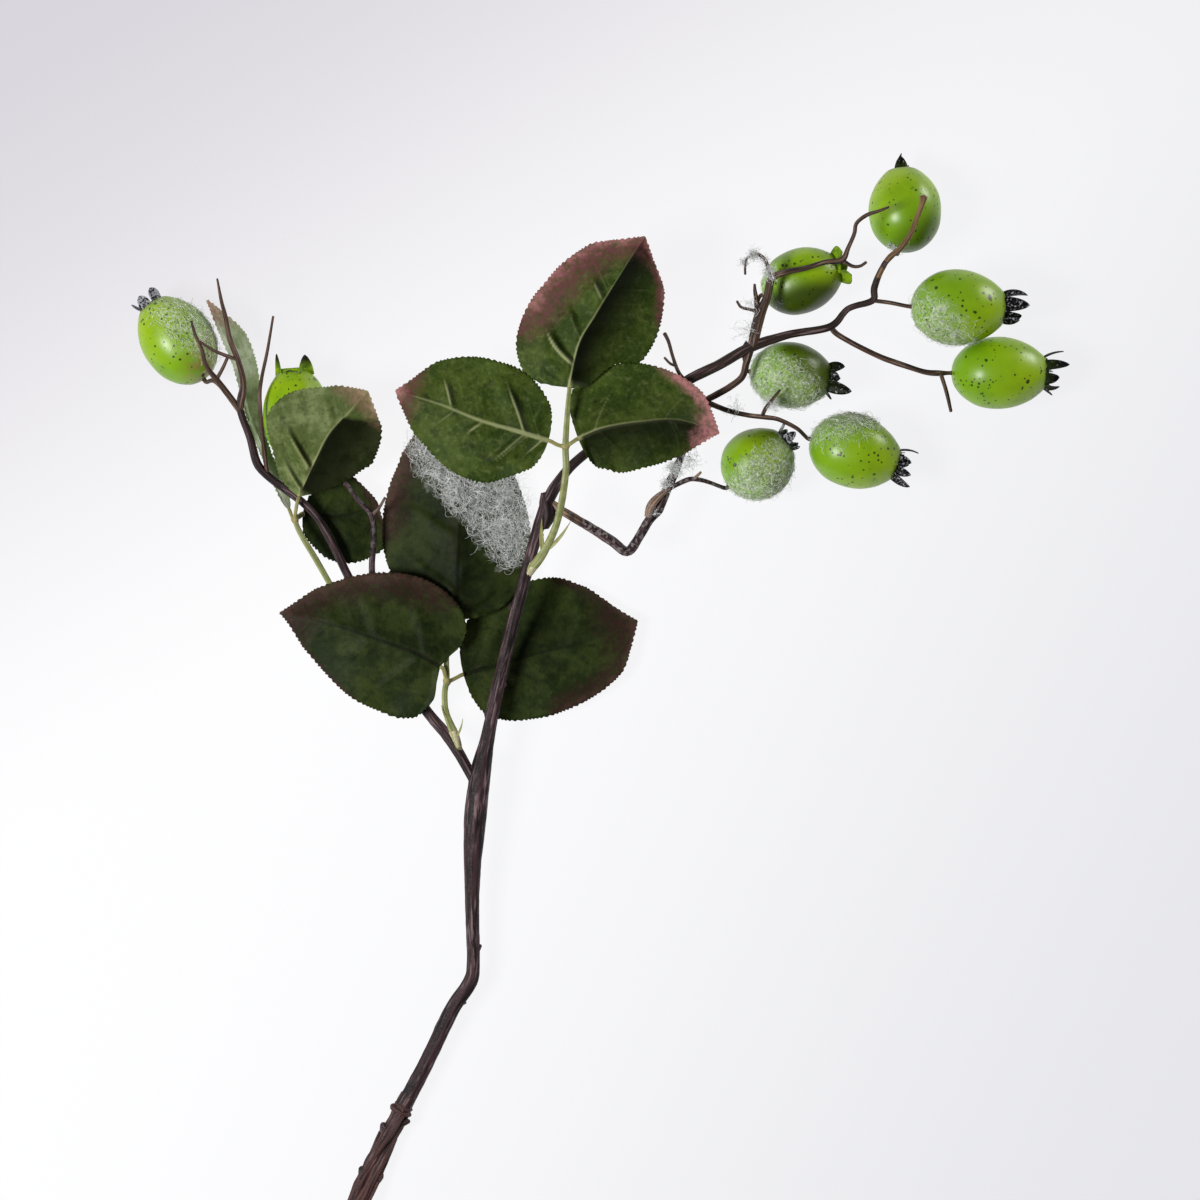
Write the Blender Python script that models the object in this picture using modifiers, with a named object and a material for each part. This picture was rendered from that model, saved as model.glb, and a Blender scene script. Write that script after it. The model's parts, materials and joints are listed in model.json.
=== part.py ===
"""A rose hip sprig, lying on a flat surface.

A woody stem forks into a left and a right branch. Three compound leaves grow on the stem and its left
branch, and nine hips hang on thin twigs at the branch ends. The sprig rests on the cut end of its stem
and on the lowest hips. All sizes below are in millimetres; MM turns them into metres.
World frame: +Y runs from the cut end to the tips, +Z is up, and the surface is z = 0.
"""

import math

import bmesh
import bpy
import numpy as np
from mathutils import Vector

MM = 0.001
GAP = 0.35            # air between two pieces that meet
TWIG_STEPS = 1        # steps between two route points
TWIG_SIDES_RES = 2    # bevel resolution, eight sides
LEAF_ALONG = 14
LEAF_ACROSS = 6
LEAF_THICKNESS = 0.7
LEAF_BASE_ROUND = 0.14  # share of the length that rounds the base off
LEAF_TIP_ROUND = 0.22   # share of the length that rounds the tip off
LEAF_END_HALF_WIDTH = 0.35
HIP_STEPS = 14
SEPALS = 5
HIP_3_FORK = 30        # row of MAIN_STEM where hip 3's stalk leaves its bare tip
HIP_LEAD = 1.0         # how far before the hip its stalk turns into the hip's axis

COLOURS = {
    # name: (base colour, roughness)
    "bark": ((0.045, 0.026, 0.026), 0.5),
    "twig_bark": ((0.12, 0.09, 0.075), 0.7),
    "green_stalk": ((0.30, 0.31, 0.13), 0.55),
    "leaf_green": ((0.045, 0.065, 0.018), 0.6),
    "hip_skin": ((0.20, 0.36, 0.015), 0.35),
    "sepal_brown": ((0.035, 0.022, 0.015), 0.8),
}

# Routes: x, y, z of the centre line, then the radius.
MAIN_STEM = [
    (-65.2, -136, 2.8, 2.8), (-62, -128.5, 3.0, 2.7), (-57.5, -118, 3.2, 2.4), (-51.5, -106, 3.7, 2.2),
    (-45, -93.5, 4.4, 1.95), (-38.5, -80, 5.2, 1.9), (-34, -73, 5.8, 1.85), (-33, -67.5, 6.2, 1.7),
    (-33.3, -52, 7.2, 1.75), (-32.9, -39.5, 8.2, 2.35), (-32.2, -28, 9.1, 2.85), (-31, -19.5, 9.8, 2.6),
    (-29, -10, 11, 1.75), (-26.5, 2.5, 12.2, 1.6), (-22, 21, 14.2, 1.55), (-19, 32.5, 15.4, 1.5),
    (-16, 43, 16.5, 1.5), (-13.5, 49.5, 17.2, 1.55), (-10, 55, 17.8, 1.25), (-5.5, 59.5, 18.2, 1.15),
    (7.5, 69.5, 18.6, 1.2), (21, 78.5, 18.4, 1.3), (29, 82.5, 18.0, 1.3), (37, 87, 17.5, 1.3),
    (46.5, 90, 16.8, 1.0), (56.5, 92, 16.0, 0.95), (61, 96.5, 16, 0.8), (67, 98.5, 16.2, 0.85),
    (67.4, 101.5, 16.8, 0.85), (68.8, 105.5, 18, 0.75), (71, 109, 19.8, 0.7), (73.5, 111, 21.2, 0.7),
    (76, 114.5, 22.2, 0.65), (77.5, 118.5, 22.9, 0.6), (78.7, 121.8, 23.3, 0.7), (79.1, 123.6, 23.4, 1.05),
]
HIP_3_STALK = [(72.6, 110.2, 17.5, 0.6), (73.4, 110.4, 13.5, 0.55), (73.85, 110.95, 11, 0.5)]
LEFT_BRANCH = [
    (-31.8, -23.5, 9.4, 1.2), (-33.3, -20.5, 9.3, 1.3), (-36.9, -14.3, 8.6, 1.4), (-40, -10, 7.6, 1.45),
    (-45, -4, 6.0, 1.4), (-51.5, 5.5, 4.6, 1.3), (-58.5, 18, 4.4, 1.2), (-65, 30.5, 6.0, 1.1),
    (-68, 37, 7.4, 1.05), (-71.5, 43.5, 8.6, 1.0), (-75.5, 48, 9.4, 1.0), (-80, 51.5, 10.3, 1.0),
    (-84, 54.5, 11.2, 1.0), (-87, 58, 12.2, 1.1), (-88.5, 64, 13.2, 0.95), (-91, 71.5, 14.6, 0.9),
    (-90, 77.5, 16.5, 0.75), (-91, 83, 18.2, 0.7), (-93, 88.5, 19.4, 0.65), (-94, 94, 20.2, 0.55),
    (-95, 98, 20.6, 0.45), (-96, 103.5, 21, 0.25),
]
LEFT_BRISTLE = [
    (-84.5, 55, 11.3, 0.6), (-85.3, 64, 14.8, 0.55), (-86, 74, 15.5, 0.5), (-85.5, 79, 16, 0.45),
    (-84, 86, 16.5, 0.4), (-82.5, 94.5, 17, 0.3),
]
LEFT_FORK = [
    (-91, 71, 14.6, 0.8), (-93.5, 74.5, 15.3, 0.8), (-96.5, 78.5, 16.6, 0.75), (-99, 82, 18.2, 0.55),
    (-100, 86, 19.6, 0.5), (-101.5, 89.5, 20.3, 0.4), (-102.5, 93, 20.6, 0.3),
]
LEFT_LINK = [(-96.3, 79.3, 17, 0.5), (-94.9, 81.6, 18.2, 0.45), (-93.6, 84.2, 19.2, 0.4)]
HIP_1_STALK = [(-94.8, 76.2, 15.8, 0.55), (-97, 78.3, 15.2, 0.6), (-98.5, 78.8, 12.4, 0.55)]
LEFT_CROSS = [
    (-91, 83.5, 18.3, 0.45), (-94, 84.5, 19.5, 0.45), (-97.5, 86, 20.2, 0.4), (-100.5, 88, 20.2, 0.3),
]
INNER_TWIG = [
    (-56.5, 14, 4.4, 1.0), (-58, 24, 6.5, 0.85), (-58.5, 32, 8, 0.8), (-58, 39, 9, 0.75),
    (-58.5, 45, 9.8, 0.75), (-62, 49, 10.4, 0.65), (-64.5, 52.5, 10.8, 0.6), (-68, 55.5, 10.8, 0.5),
]
INNER_STUB = [(-58.5, 45, 9.8, 0.5), (-56.5, 47, 10.3, 0.4), (-55, 49.5, 10.8, 0.3)]
RIGHT_SPUR = [
    (-13.5, 48, 17.1, 1.1), (-9.5, 45.5, 16.5, 1.1), (-3.5, 42, 15.2, 1.2), (2, 38.5, 14, 1.25),
    (5.9, 36, 13.2, 1.2), (9, 40, 13.2, 1.1), (11.3, 43.8, 13.1, 1.15), (13.3, 46.2, 12.8, 1.25),
    (14.6, 48.7, 12.4, 1.2), (16, 52.1, 11.9, 1.15), (17.4, 55.1, 11.5, 1.1), (18.6, 58, 11.2, 1.0),
    (20.5, 62.5, 11, 0.7),
]
SPUR_TWIG = [
    (11.1, 44.6, 13.6, 1.0), (11.5, 46.6, 14.1, 1.15), (12.4, 48.2, 14.4, 1.05), (13.8, 49.7, 14.4, 0.85),
    (15.4, 50.9, 14.2, 0.65), (17.4, 52.2, 13.8, 0.6), (20.2, 53.6, 13, 0.65), (22, 54.1, 12.5, 0.6),
    (24.6, 53.8, 11.6, 0.55), (27.1, 53.1, 10.2, 0.5),
]
SPUR_STUB = [(22.5, 54.1, 12.4, 0.45), (24.3, 55.8, 13.4, 0.3)]
UPRIGHT_TWIG = [
    (37, 87, 17.5, 1.3), (37.6, 90, 18.3, 1.35), (38.7, 94.5, 19.3, 1.35), (40.5, 99, 20.4, 1.05),
    (41.6, 103.5, 21.7, 0.95), (45, 105, 22.3, 0.75), (50, 106, 22.4, 0.65), (55, 107.5, 22.3, 0.65),
    (59, 108, 22, 0.75), (60.5, 111, 22.2, 0.55), (62, 114.5, 22.8, 0.5), (62.5, 117, 23.1, 0.5),
    (65, 119, 23.4, 0.5), (68, 120, 23.6, 0.4), (70.5, 121, 23.6, 0.3),
]
UPRIGHT_HOOK = [
    (59, 108, 22, 0.55), (61.5, 106.5, 22.1, 0.45), (63.5, 106.5, 22.2, 0.4), (65, 107.5, 22.3, 0.35),
]
WEB_HOOK = [
    (41.5, 103, 21.6, 0.6), (40.5, 106.5, 22.3, 0.5), (39.5, 108.5, 22.6, 0.45), (37.5, 109.5, 22.7, 0.4),
    (35.5, 108.5, 22.5, 0.35), (35, 106.5, 22.2, 0.3), (35, 104.5, 21.8, 0.3),
]
UPRIGHT_STUB = [
    (38.2, 94, 19.1, 0.8), (37.9, 98, 19.9, 0.6), (37.5, 100.5, 20.3, 0.45), (37.4, 102.2, 20.5, 0.3),
]
UPRIGHT_SPUR = [(38, 95.5, 19.4, 0.45), (36, 96, 20, 0.4), (34, 96.5, 20.4, 0.35), (33, 98, 20.5, 0.3)]
LOWER_TWIG = [
    (36.5, 86, 17.4, 0.95), (35.5, 83, 16.8, 0.9), (34.5, 79.5, 16, 0.85), (31.5, 77, 15.4, 0.85),
    (28, 75, 15, 0.85), (25.5, 73.5, 14.8, 0.85), (27.5, 72.5, 14.6, 0.7), (31.5, 71, 14.3, 0.65),
    (36, 70, 14.3, 0.6), (39.5, 69.5, 15.2, 0.6), (43.5, 68.9, 15.6, 0.55), (48.3, 66.8, 12.6, 0.5),
]
LOWER_STUB = [(39.5, 69.5, 15, 0.5), (40.3, 71.5, 17, 0.5), (42, 73.8, 18.6, 0.4), (43.8, 76, 19.2, 0.3)]
END_TWIG = [
    (56.5, 92, 16, 0.7), (58.5, 90, 15.6, 0.7), (64, 87, 14.6, 0.7), (69.5, 84.5, 13.5, 0.7),
    (75.5, 82.5, 12.5, 0.7), (80.5, 81, 11.6, 0.7), (84, 80.8, 10.4, 0.75),
]
END_STUB = [(84.6, 80.8, 10.4, 0.55), (85.9, 76, 12.0, 0.5), (87, 71, 12.6, 0.4)]
BARE_TWIG = [
    (20.5, 78, 18.4, 0.6), (18.5, 80.5, 19, 0.5), (17, 84.5, 19.6, 0.45), (16, 88, 20, 0.45),
    (15, 90, 20.3, 0.5),
]
BARE_KNOB = [(18, 82, 19.2, 0.4), (16.5, 82.5, 19.6, 0.35), (15, 84, 20, 0.3)]
PEDICELS = {
    "2": [(-80.5, 51.5, 10.3, 0.6), (-79.5, 54.5, 9.6, 0.55)],
    "4": [(38.5, 92, 18.3, 0.5), (39.3, 95, 14.8, 0.5), (38.6, 98, 10.8, 0.5)],
    "5": [(67, 98.5, 16.2, 0.55), (71.5, 98, 15.6, 0.5)],
    "7": [(36, 85, 17.2, 0.5), (35, 85.5, 13.5, 0.5)],
}
UPPER_STALK = [
    (-19.2, 28.5, 15.4, 1.0), (-17.2, 31.5, 17.3, 1.1), (-14.5, 35.5, 19, 0.95), (-11.5, 43.5, 22, 0.9),
    (-9.5, 54.5, 25, 0.85), (-9.5, 62, 26.5, 0.8), (-9, 70.5, 27.2, 0.65), (-8.6, 75, 27.2, 0.55),
]
UPPER_PETIOLULES = [
    [(-9.5, 61.5, 26.5, 0.55), (-11.5, 62, 27, 0.5), (-13, 62.8, 27, 0.5)],
    [(-9.5, 61.5, 26.5, 0.55), (-8, 62.5, 27, 0.5), (-7, 63.2, 27, 0.5)],
]
LOWER_STALK = [
    (-36.3, -14.5, 9.4, 0.9), (-37.5, -10, 11, 0.9), (-39.5, -5, 11.4, 0.85), (-40, 0, 11.4, 0.85),
    (-39.5, 4, 11.2, 0.8), (-39.5, 10, 10.6, 0.65), (-38, 15.5, 9.8, 0.6), (-37.3, 18, 9.5, 0.5),
]
LOWER_PETIOLULES = [
    [(-39.5, 3.5, 11.2, 0.6), (-40, 5.5, 12.4, 0.5), (-40.3, 6.5, 12.6, 0.5)],
    [(-39.5, 3, 11, 0.55), (-37.5, 4, 10.2, 0.5), (-36, 4.8, 9.6, 0.5)],
]
SIDE_STALK = [
    (-57.4, 15.8, 4.5, 0.8), (-60.5, 16.6, 5.2, 0.8), (-63.5, 18.5, 6, 0.8), (-68, 26, 8, 0.75),
    (-72.5, 34, 9.6, 0.75), (-76.3, 40.5, 10.4, 0.7), (-77.8, 44, 10.4, 0.65),
]
SIDE_PETIOLULES = [
    [(-77.6, 43.6, 10.4, 0.5), (-77.4, 45.8, 11.8, 0.45), (-76.8, 48.8, 12.4, 0.45)],
    [(-77.8, 43.8, 10.4, 0.5), (-78.6, 45, 9.8, 0.45), (-79, 46, 9.3, 0.45)],
]

# Leaflets: midrib points, then half widths to its left and right from base to tip, the two
# slopes (rise per millimetre from midrib to margin) and the height of the ripple along the margin.
LEAFLETS = {
    "upper_leaflet_tip": (
        [(-8.5, 76, 27), (-6, 86.5, 29.5), (-2, 93.5, 30.5), (3.5, 102.5, 31), (10, 113, 30)],
        [10, 15, 15.5, 14.5, 12.5, 8.5, 3.5], [3, 8, 14, 15.5, 14.5, 11, 5], -0.22, -0.25, 0.5),
    "upper_leaflet_left": (
        [(-13.7, 63, 27), (-22, 65.5, 28), (-30.5, 68, 28), (-40.5, 72, 27), (-51.5, 75.5, 25)],
        [6, 10.5, 14, 14.5, 12.5, 8.5, 5], [6.5, 12, 15, 15, 13, 8, 3], -0.15, -0.12, 0.5),
    "upper_leaflet_right": (
        [(-6.4, 63.5, 27), (0, 66, 28), (9, 67.5, 28), (18.5, 68, 27), (28.5, 65, 24)],
        [8, 12.5, 15, 15, 11.5, 6.5, 4], [7.5, 10, 11.5, 11, 10, 8, 3], -0.32, -0.2, 0.5),
    "lower_leaflet_tip": (
        [(-37.1, 18.8, 9.5), (-37, 31.5, 9), (-36.5, 44, 8.5), (-37.5, 59, 8), (-41.5, 74, 7)],
        [7.5, 15, 19, 19.5, 17.5, 13, 7], [8.5, 16, 18, 17.5, 14.5, 10, 5], -0.12, -0.12, 0.5),
    "lower_leaflet_left": (
        [(-41, 7, 12.8), (-47.5, 10.5, 14), (-58.5, 14.5, 14.5), (-70, 18, 13.5), (-81.5, 20.5, 11)],
        [13, 16.5, 17, 16, 12.5, 7.5, 2], [9, 15.5, 18, 17, 13.5, 8, 3.5], -0.2, -0.1, 0.5),
    "lower_leaflet_right": (
        [(-35.4, 5, 9.3), (-26, 7.5, 8.2), (-16, 10.5, 7.2), (-3.5, 13.5, 5.8), (8.5, 18.5, 4)],
        [9, 14.5, 17.5, 17, 15.5, 10.5, 3], [8.5, 13.5, 15.5, 15.5, 12.5, 8.5, 5], -0.12, -0.05, 0.4),
    "side_leaflet_folded": (
        [(-76.5, 49.6, 11.8), (-71.5, 59, 17.5), (-68, 65, 20.5), (-63, 70.5, 22), (-58.5, 75.5, 22.5)],
        [7.5, 11.5, 15.5, 15, 11, 7, 4], [1.5, 4.5, 9.5, 12, 11, 8, 4], 0.05, -0.75, 0.4),
    "side_leaflet_back": (
        [(-76, 45.5, 7.4), (-71, 45, 6.4), (-64, 45, 5.6), (-58.5, 46.5, 4.6), (-51.5, 49, 3.6)],
        [3.5, 7, 9, 9.5, 9, 7.5, 5], [2, 6, 10, 11.5, 10, 7, 4], -0.05, -0.1, 0.3),
    "side_leaflet_edge": (
        [(-79.3, 46.6, 9.0), (-83.8, 56.5, 7.8), (-88.8, 69, 8), (-92.8, 84, 9.5), (-99.5, 99, 12)],
        [0.8, 1, 1, 1, 1, 1, 1], [1, 1.6, 1.6, 2.6, 4.2, 4.8, 3], 0.9, -0.9, 0.2),
}

# Hips: centre, heading and pitch of the axis in degrees (stalk end to calyx), length, greatest
# diameter, then the calyx: radius at its base, radius at the sepal tips, height.
HIPS = {
    "1": ((-107.3, 88.9, 9.0), 125, 0, 23.0, 18.0, (3.6, 3.4, 4.5)),
    "2": ((-77.4, 70, 8.6), 94, 0, 23.5, 17.0, (4.0, 4.4, 5.0)),
    "3": ((75.8, 121.8, 9.2), 94, -8, 21.0, 18.2, (1.6, 0.9, 3.2)),
    "4": ((49.5, 104, 10.4), 20, 8, 20.0, 16.4, (3.2, 3.8, 4.0)),
    "5": ((88.5, 97, 15.4), -1, 0, 23.2, 18.6, (4.0, 3.0, 7.0)),
    "6": ((99.5, 81, 9.0), 0, 0, 23.7, 18.0, (4.8, 4.4, 5.0)),
    "7": ((47, 80.5, 9.2), -6, 0, 20.0, 16.2, (4.0, 4.2, 4.5)),
    "8": ((63, 61.2, 9.2), -16, 0, 22.6, 18.4, (4.2, 4.4, 4.8)),
    "9": ((38.5, 58.2, 8.9), 38, 6, 18.2, 17.6, (2.6, 2.6, 2.4)),
}
# Hip outline: share of the length from the stalk end, share of the greatest radius.
HIP_PROFILE = [
    (0.0, 0.0), (0.0, 0.12), (0.04, 0.42), (0.13, 0.7), (0.28, 0.92), (0.48, 1.0),
    (0.66, 0.94), (0.82, 0.76), (0.94, 0.54), (1.0, 0.38), (1.0, 0.0),
]


def clear_scene():
    for obj in list(bpy.data.objects):
        bpy.data.objects.remove(obj, do_unlink=True)


def new_collection(name):
    collection = bpy.data.collections.new(name)
    bpy.context.scene.collection.children.link(collection)
    return collection


def new_material(name):
    colour, roughness = COLOURS[name]
    material = bpy.data.materials.new(name)
    material.use_nodes = True
    shader = material.node_tree.nodes["Principled BSDF"]
    shader.inputs["Base Color"].default_value = (*colour, 1)
    shader.inputs["Roughness"].default_value = roughness
    shader.inputs["Metallic"].default_value = 0
    return material


def spline(rows, steps):
    """A smooth (Catmull-Rom) run through all the rows, with this many steps between two of them."""
    rows = np.array(rows, float)
    ends = np.vstack([2 * rows[0] - rows[1], rows, 2 * rows[-1] - rows[-2]])
    smooth = []
    for before, start, end, after in zip(ends, ends[1:], ends[2:], ends[3:]):
        for t in np.arange(steps) / steps:
            smooth.append(
                start
                + 0.5 * t * (end - before)
                + t * t * (before - 2.5 * start + 2 * end - 0.5 * after)
                + t * t * t * (1.5 * start - 0.5 * before - 1.5 * end + 0.5 * after)
            )
    smooth.append(rows[-1])
    return np.array(smooth)


def distance_to_twig(point, route):
    """How far a point lies outside the surface of the round twig along this route."""
    starts = route[:-1]
    runs = route[1:] - starts
    along = ((point - starts[:, :3]) * runs[:, :3]).sum(1) / (runs[:, :3] ** 2).sum(1)
    nearest = starts + np.clip(along, 0, 1)[:, None] * runs
    return (np.linalg.norm(point - nearest[:, :3], axis=1) - nearest[:, 3]).min()


def end_disc(route, i):
    """Eight points round the twig's cut face, were it cut at row i."""
    direction = Vector(route[i + 1, :3] - route[i, :3]).normalized()
    side = direction.orthogonal()
    up = direction.cross(side)
    turns = np.arange(8) * math.tau / 8
    return [
        route[i, :3] + route[i, 3] * (math.cos(a) * np.array(side) + math.sin(a) * np.array(up))
        for a in turns
    ]


def clear_of(route, parent, steps=8):
    """The route's rows from where its cut face stands GAP clear of the parent twig."""
    fine = spline(route, steps)
    parent = spline(parent, TWIG_STEPS)
    first = 0
    for i in range(len(fine) // 2):
        if min(distance_to_twig(point, parent) for point in end_disc(fine, i)) < GAP:
            first = i + 1
    kept = [row for k, row in enumerate(route) if k * steps > first + steps // 2]
    return [tuple(fine[first])] + kept


def hip_axis(hip):
    _, heading, pitch, *_ = HIPS[hip]
    heading, pitch = math.radians(heading), math.radians(pitch)
    level = math.cos(pitch)
    return Vector((math.cos(heading) * level, math.sin(heading) * level, math.sin(pitch)))


def to_hip(route, hip, radius=0.5):
    """The route, led on to just short of the hip's stalk end, with its last stretch along the hip's axis."""
    centre, _, _, length, *_ = HIPS[hip]
    axis = hip_axis(hip)
    end = Vector(centre) - axis * (length / 2 + GAP)
    before = Vector(centre) - axis * (length / 2 + HIP_LEAD)
    return list(route) + [(*before, radius), (*end, radius)]


def tube_mesh(name, route):
    """The round twig along a route, as a closed mesh in metres."""
    rows = spline(route, TWIG_STEPS)
    curve = bpy.data.curves.new(name, "CURVE")
    curve.dimensions = "3D"
    curve.bevel_depth = MM
    curve.bevel_resolution = TWIG_SIDES_RES
    curve.use_fill_caps = True
    line = curve.splines.new("POLY")
    line.points.add(len(rows) - 1)
    for point, row in zip(line.points, rows):
        point.co = (*(row[:3] * MM), 1)
        point.radius = max(row[3], 0.25)
    guide = bpy.data.objects.new(name + "_line", curve)
    bpy.context.scene.collection.objects.link(guide)
    graph = bpy.context.evaluated_depsgraph_get()
    mesh = bpy.data.meshes.new_from_object(guide.evaluated_get(graph))
    bpy.data.objects.remove(guide, do_unlink=True)
    weld(mesh)
    mesh.name = name
    return mesh


def weld(mesh):
    work = bmesh.new()
    work.from_mesh(mesh)
    bmesh.ops.remove_doubles(work, verts=work.verts, dist=0.00001)
    bmesh.ops.recalc_face_normals(work, faces=work.faces)
    work.to_mesh(mesh)
    work.free()


def twig(name, route, material, parts, helpers, offshoots=()):
    """A twig along a route, with its offshoots joined on so that it is one grown piece."""
    obj = bpy.data.objects.new(name, tube_mesh(name, route))
    parts.objects.link(obj)
    obj.data.materials.append(material)
    for number, offshoot in enumerate(offshoots, 1):
        shoot_name = f"{name}_shoot_{number}"
        shoot = bpy.data.objects.new(shoot_name, tube_mesh(shoot_name, offshoot))
        shoot.hide_render = True
        shoot.display_type = "WIRE"
        helpers.objects.link(shoot)
        join = obj.modifiers.new(shoot_name, "BOOLEAN")
        join.operation = "UNION"
        join.solver = "EXACT"
        join.object = shoot
    obj.data.shade_smooth()
    return obj


def leaf_half_width(share, widths):
    """Half the blade's width at this share of its length, with the base and the tip rounded off."""
    row = spline([(w,) for w in widths], 8)[:, 0]
    width = np.interp(share * (len(row) - 1), np.arange(len(row)), row)
    to_base = 1 - min(share / LEAF_BASE_ROUND, 1)
    to_tip = max(0, 1 - (1 - share) / LEAF_TIP_ROUND)
    width *= math.sqrt(1 - to_base**2) * (1 - to_tip**1.5) ** 0.75
    return max(width, LEAF_END_HALF_WIDTH)


def leaflet(name, material, parts):
    """A leaf blade: a grid laid along the midrib, widened, folded and rippled, then thickened."""
    midrib, left, right, slope_left, slope_right, ripple = LEAFLETS[name]
    line = spline(midrib, 8)
    bpy.ops.mesh.primitive_grid_add(x_subdivisions=LEAF_ALONG, y_subdivisions=LEAF_ACROSS, size=2)
    obj = bpy.context.object
    obj.name = name
    for vertex in obj.data.vertices:
        share = (vertex.co.x + 1) / 2
        across = vertex.co.y
        at = share * (len(line) - 1)
        low = min(int(at), len(line) - 2)
        run = line[low + 1] - line[low]
        point = line[low] + (at - low) * run
        side = np.array((-run[1], run[0])) / math.hypot(run[0], run[1])
        widths, slope = (left, slope_left) if across > 0 else (right, slope_right)
        out = abs(across) * leaf_half_width(share, widths)
        point[:2] += side * math.copysign(out, across)
        point[2] += slope * out + ripple * across * across * math.sin(share * 5 * math.pi)
        vertex.co = Vector(point) * MM
    move_to_collection(obj, parts)
    obj.data.materials.append(material)
    shell = obj.modifiers.new("thickness", "SOLIDIFY")
    shell.thickness = LEAF_THICKNESS * MM
    shell.offset = 0
    obj.data.shade_smooth()
    return obj


def move_to_collection(obj, collection):
    for other in list(obj.users_collection):
        other.objects.unlink(obj)
    collection.objects.link(obj)


def hip(number, material, parts):
    """A hip: its outline turned about its own axis, then set down with the calyx end along the axis."""
    centre, _, _, length, width, _ = HIPS[number]
    profile = bmesh.new()
    points = [
        profile.verts.new((r * width / 2 * MM, 0, (share - 0.5) * length * MM))
        for share, r in reversed(HIP_PROFILE)
    ]
    for start, end in zip(points, points[1:]):
        profile.edges.new((start, end))
    mesh = bpy.data.meshes.new(f"hip_{number}")
    profile.to_mesh(mesh)
    profile.free()
    obj = bpy.data.objects.new(f"hip_{number}", mesh)
    parts.objects.link(obj)
    turn = obj.modifiers.new("turn", "SCREW")
    turn.steps = turn.render_steps = HIP_STEPS
    turn.use_merge_vertices = True
    turn.merge_threshold = 0.0001
    turn.use_smooth_shade = True
    mesh.materials.append(material)
    place_on_axis(obj, Vector(centre), hip_axis(number))
    return obj


def calyx(number, material, parts):
    """The dried crown at a hip's end: an open cone whose rim is drawn out into five sepals."""
    centre, _, _, length, _, (base, rim, height) = HIPS[number]
    bpy.ops.mesh.primitive_cone_add(
        vertices=2 * SEPALS, radius1=base * MM, radius2=rim * MM, depth=height * MM, end_fill_type="NOTHING"
    )
    obj = bpy.context.object
    obj.name = f"calyx_{number}"
    for vertex in obj.data.vertices:
        vertex.co.z += height / 2 * MM
        notch = vertex.index % 4 == 1
        if notch:
            vertex.co.z = 0.35 * height * MM
    move_to_collection(obj, parts)
    obj.data.materials.append(material)
    wall = obj.modifiers.new("wall", "SOLIDIFY")
    wall.thickness = 0.8 * MM
    wall.offset = -1
    axis = hip_axis(number)
    place_on_axis(obj, Vector(centre) + axis * (length / 2 + GAP), axis)
    return obj


def place_on_axis(obj, place, axis):
    obj.location = place * MM
    obj.rotation_mode = "QUATERNION"
    obj.rotation_quaternion = axis.to_track_quat("Z", "Y")


def stem_and_branches(materials, parts, helpers):
    bark, twig_bark = materials["bark"], materials["twig_bark"]
    with_hip_3 = MAIN_STEM[:HIP_3_FORK + 1] + HIP_3_STALK
    twig("main_stem", with_hip_3, bark, parts, helpers, [MAIN_STEM[HIP_3_FORK - 1:]])
    to_hip_1 = to_hip(HIP_1_STALK, "1")
    left_shoots = [LEFT_BRISTLE, LEFT_FORK, to_hip_1, LEFT_CROSS, LEFT_LINK]
    twig("left_branch", clear_of(LEFT_BRANCH, MAIN_STEM), bark, parts, helpers, left_shoots)
    twig("inner_twig", clear_of(INNER_TWIG, LEFT_BRANCH), twig_bark, parts, helpers, [INNER_STUB])
    spur_shoots = [to_hip(SPUR_TWIG, "9"), SPUR_STUB]
    twig("right_spur", clear_of(RIGHT_SPUR, MAIN_STEM), twig_bark, parts, helpers, spur_shoots)
    upright_shoots = [UPRIGHT_HOOK, WEB_HOOK, UPRIGHT_STUB, UPRIGHT_SPUR]
    twig("upright_twig", clear_of(UPRIGHT_TWIG, MAIN_STEM), twig_bark, parts, helpers, upright_shoots)
    lower = to_hip(clear_of(LOWER_TWIG, MAIN_STEM), "8")
    twig("lower_twig", lower, twig_bark, parts, helpers, [LOWER_STUB])
    end = to_hip(clear_of(END_TWIG, MAIN_STEM), "6")
    twig("end_twig", end, twig_bark, parts, helpers, [END_STUB])
    twig("bare_twig", clear_of(BARE_TWIG, MAIN_STEM), twig_bark, parts, helpers, [BARE_KNOB])


def hip_stalks(material, parts, helpers):
    parents = {"2": LEFT_BRANCH, "4": UPRIGHT_TWIG, "5": MAIN_STEM, "7": MAIN_STEM}
    for number, parent in parents.items():
        route = to_hip(clear_of(PEDICELS[number], parent), number)
        twig(f"hip_stalk_{number}", route, material, parts, helpers)


def leaf_stalks(material, parts, helpers):
    upper = clear_of(UPPER_STALK, MAIN_STEM)
    twig("upper_leaf_stalk", upper, material, parts, helpers, UPPER_PETIOLULES)
    lower = clear_of(LOWER_STALK, LEFT_BRANCH)
    twig("lower_leaf_stalk", lower, material, parts, helpers, LOWER_PETIOLULES)
    side = clear_of(SIDE_STALK, LEFT_BRANCH)
    twig("side_leaf_stalk", side, material, parts, helpers, SIDE_PETIOLULES)


def main():
    clear_scene()
    parts = new_collection("rose_hip_sprig")
    helpers = new_collection("helpers")
    materials = {name: new_material(name) for name in COLOURS}
    stem_and_branches(materials, parts, helpers)
    hip_stalks(materials["twig_bark"], parts, helpers)
    leaf_stalks(materials["green_stalk"], parts, helpers)
    for name in LEAFLETS:
        leaflet(name, materials["leaf_green"], parts)
    for number in HIPS:
        hip(number, materials["hip_skin"], parts)
        calyx(number, materials["sepal_brown"], parts)


main()
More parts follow.
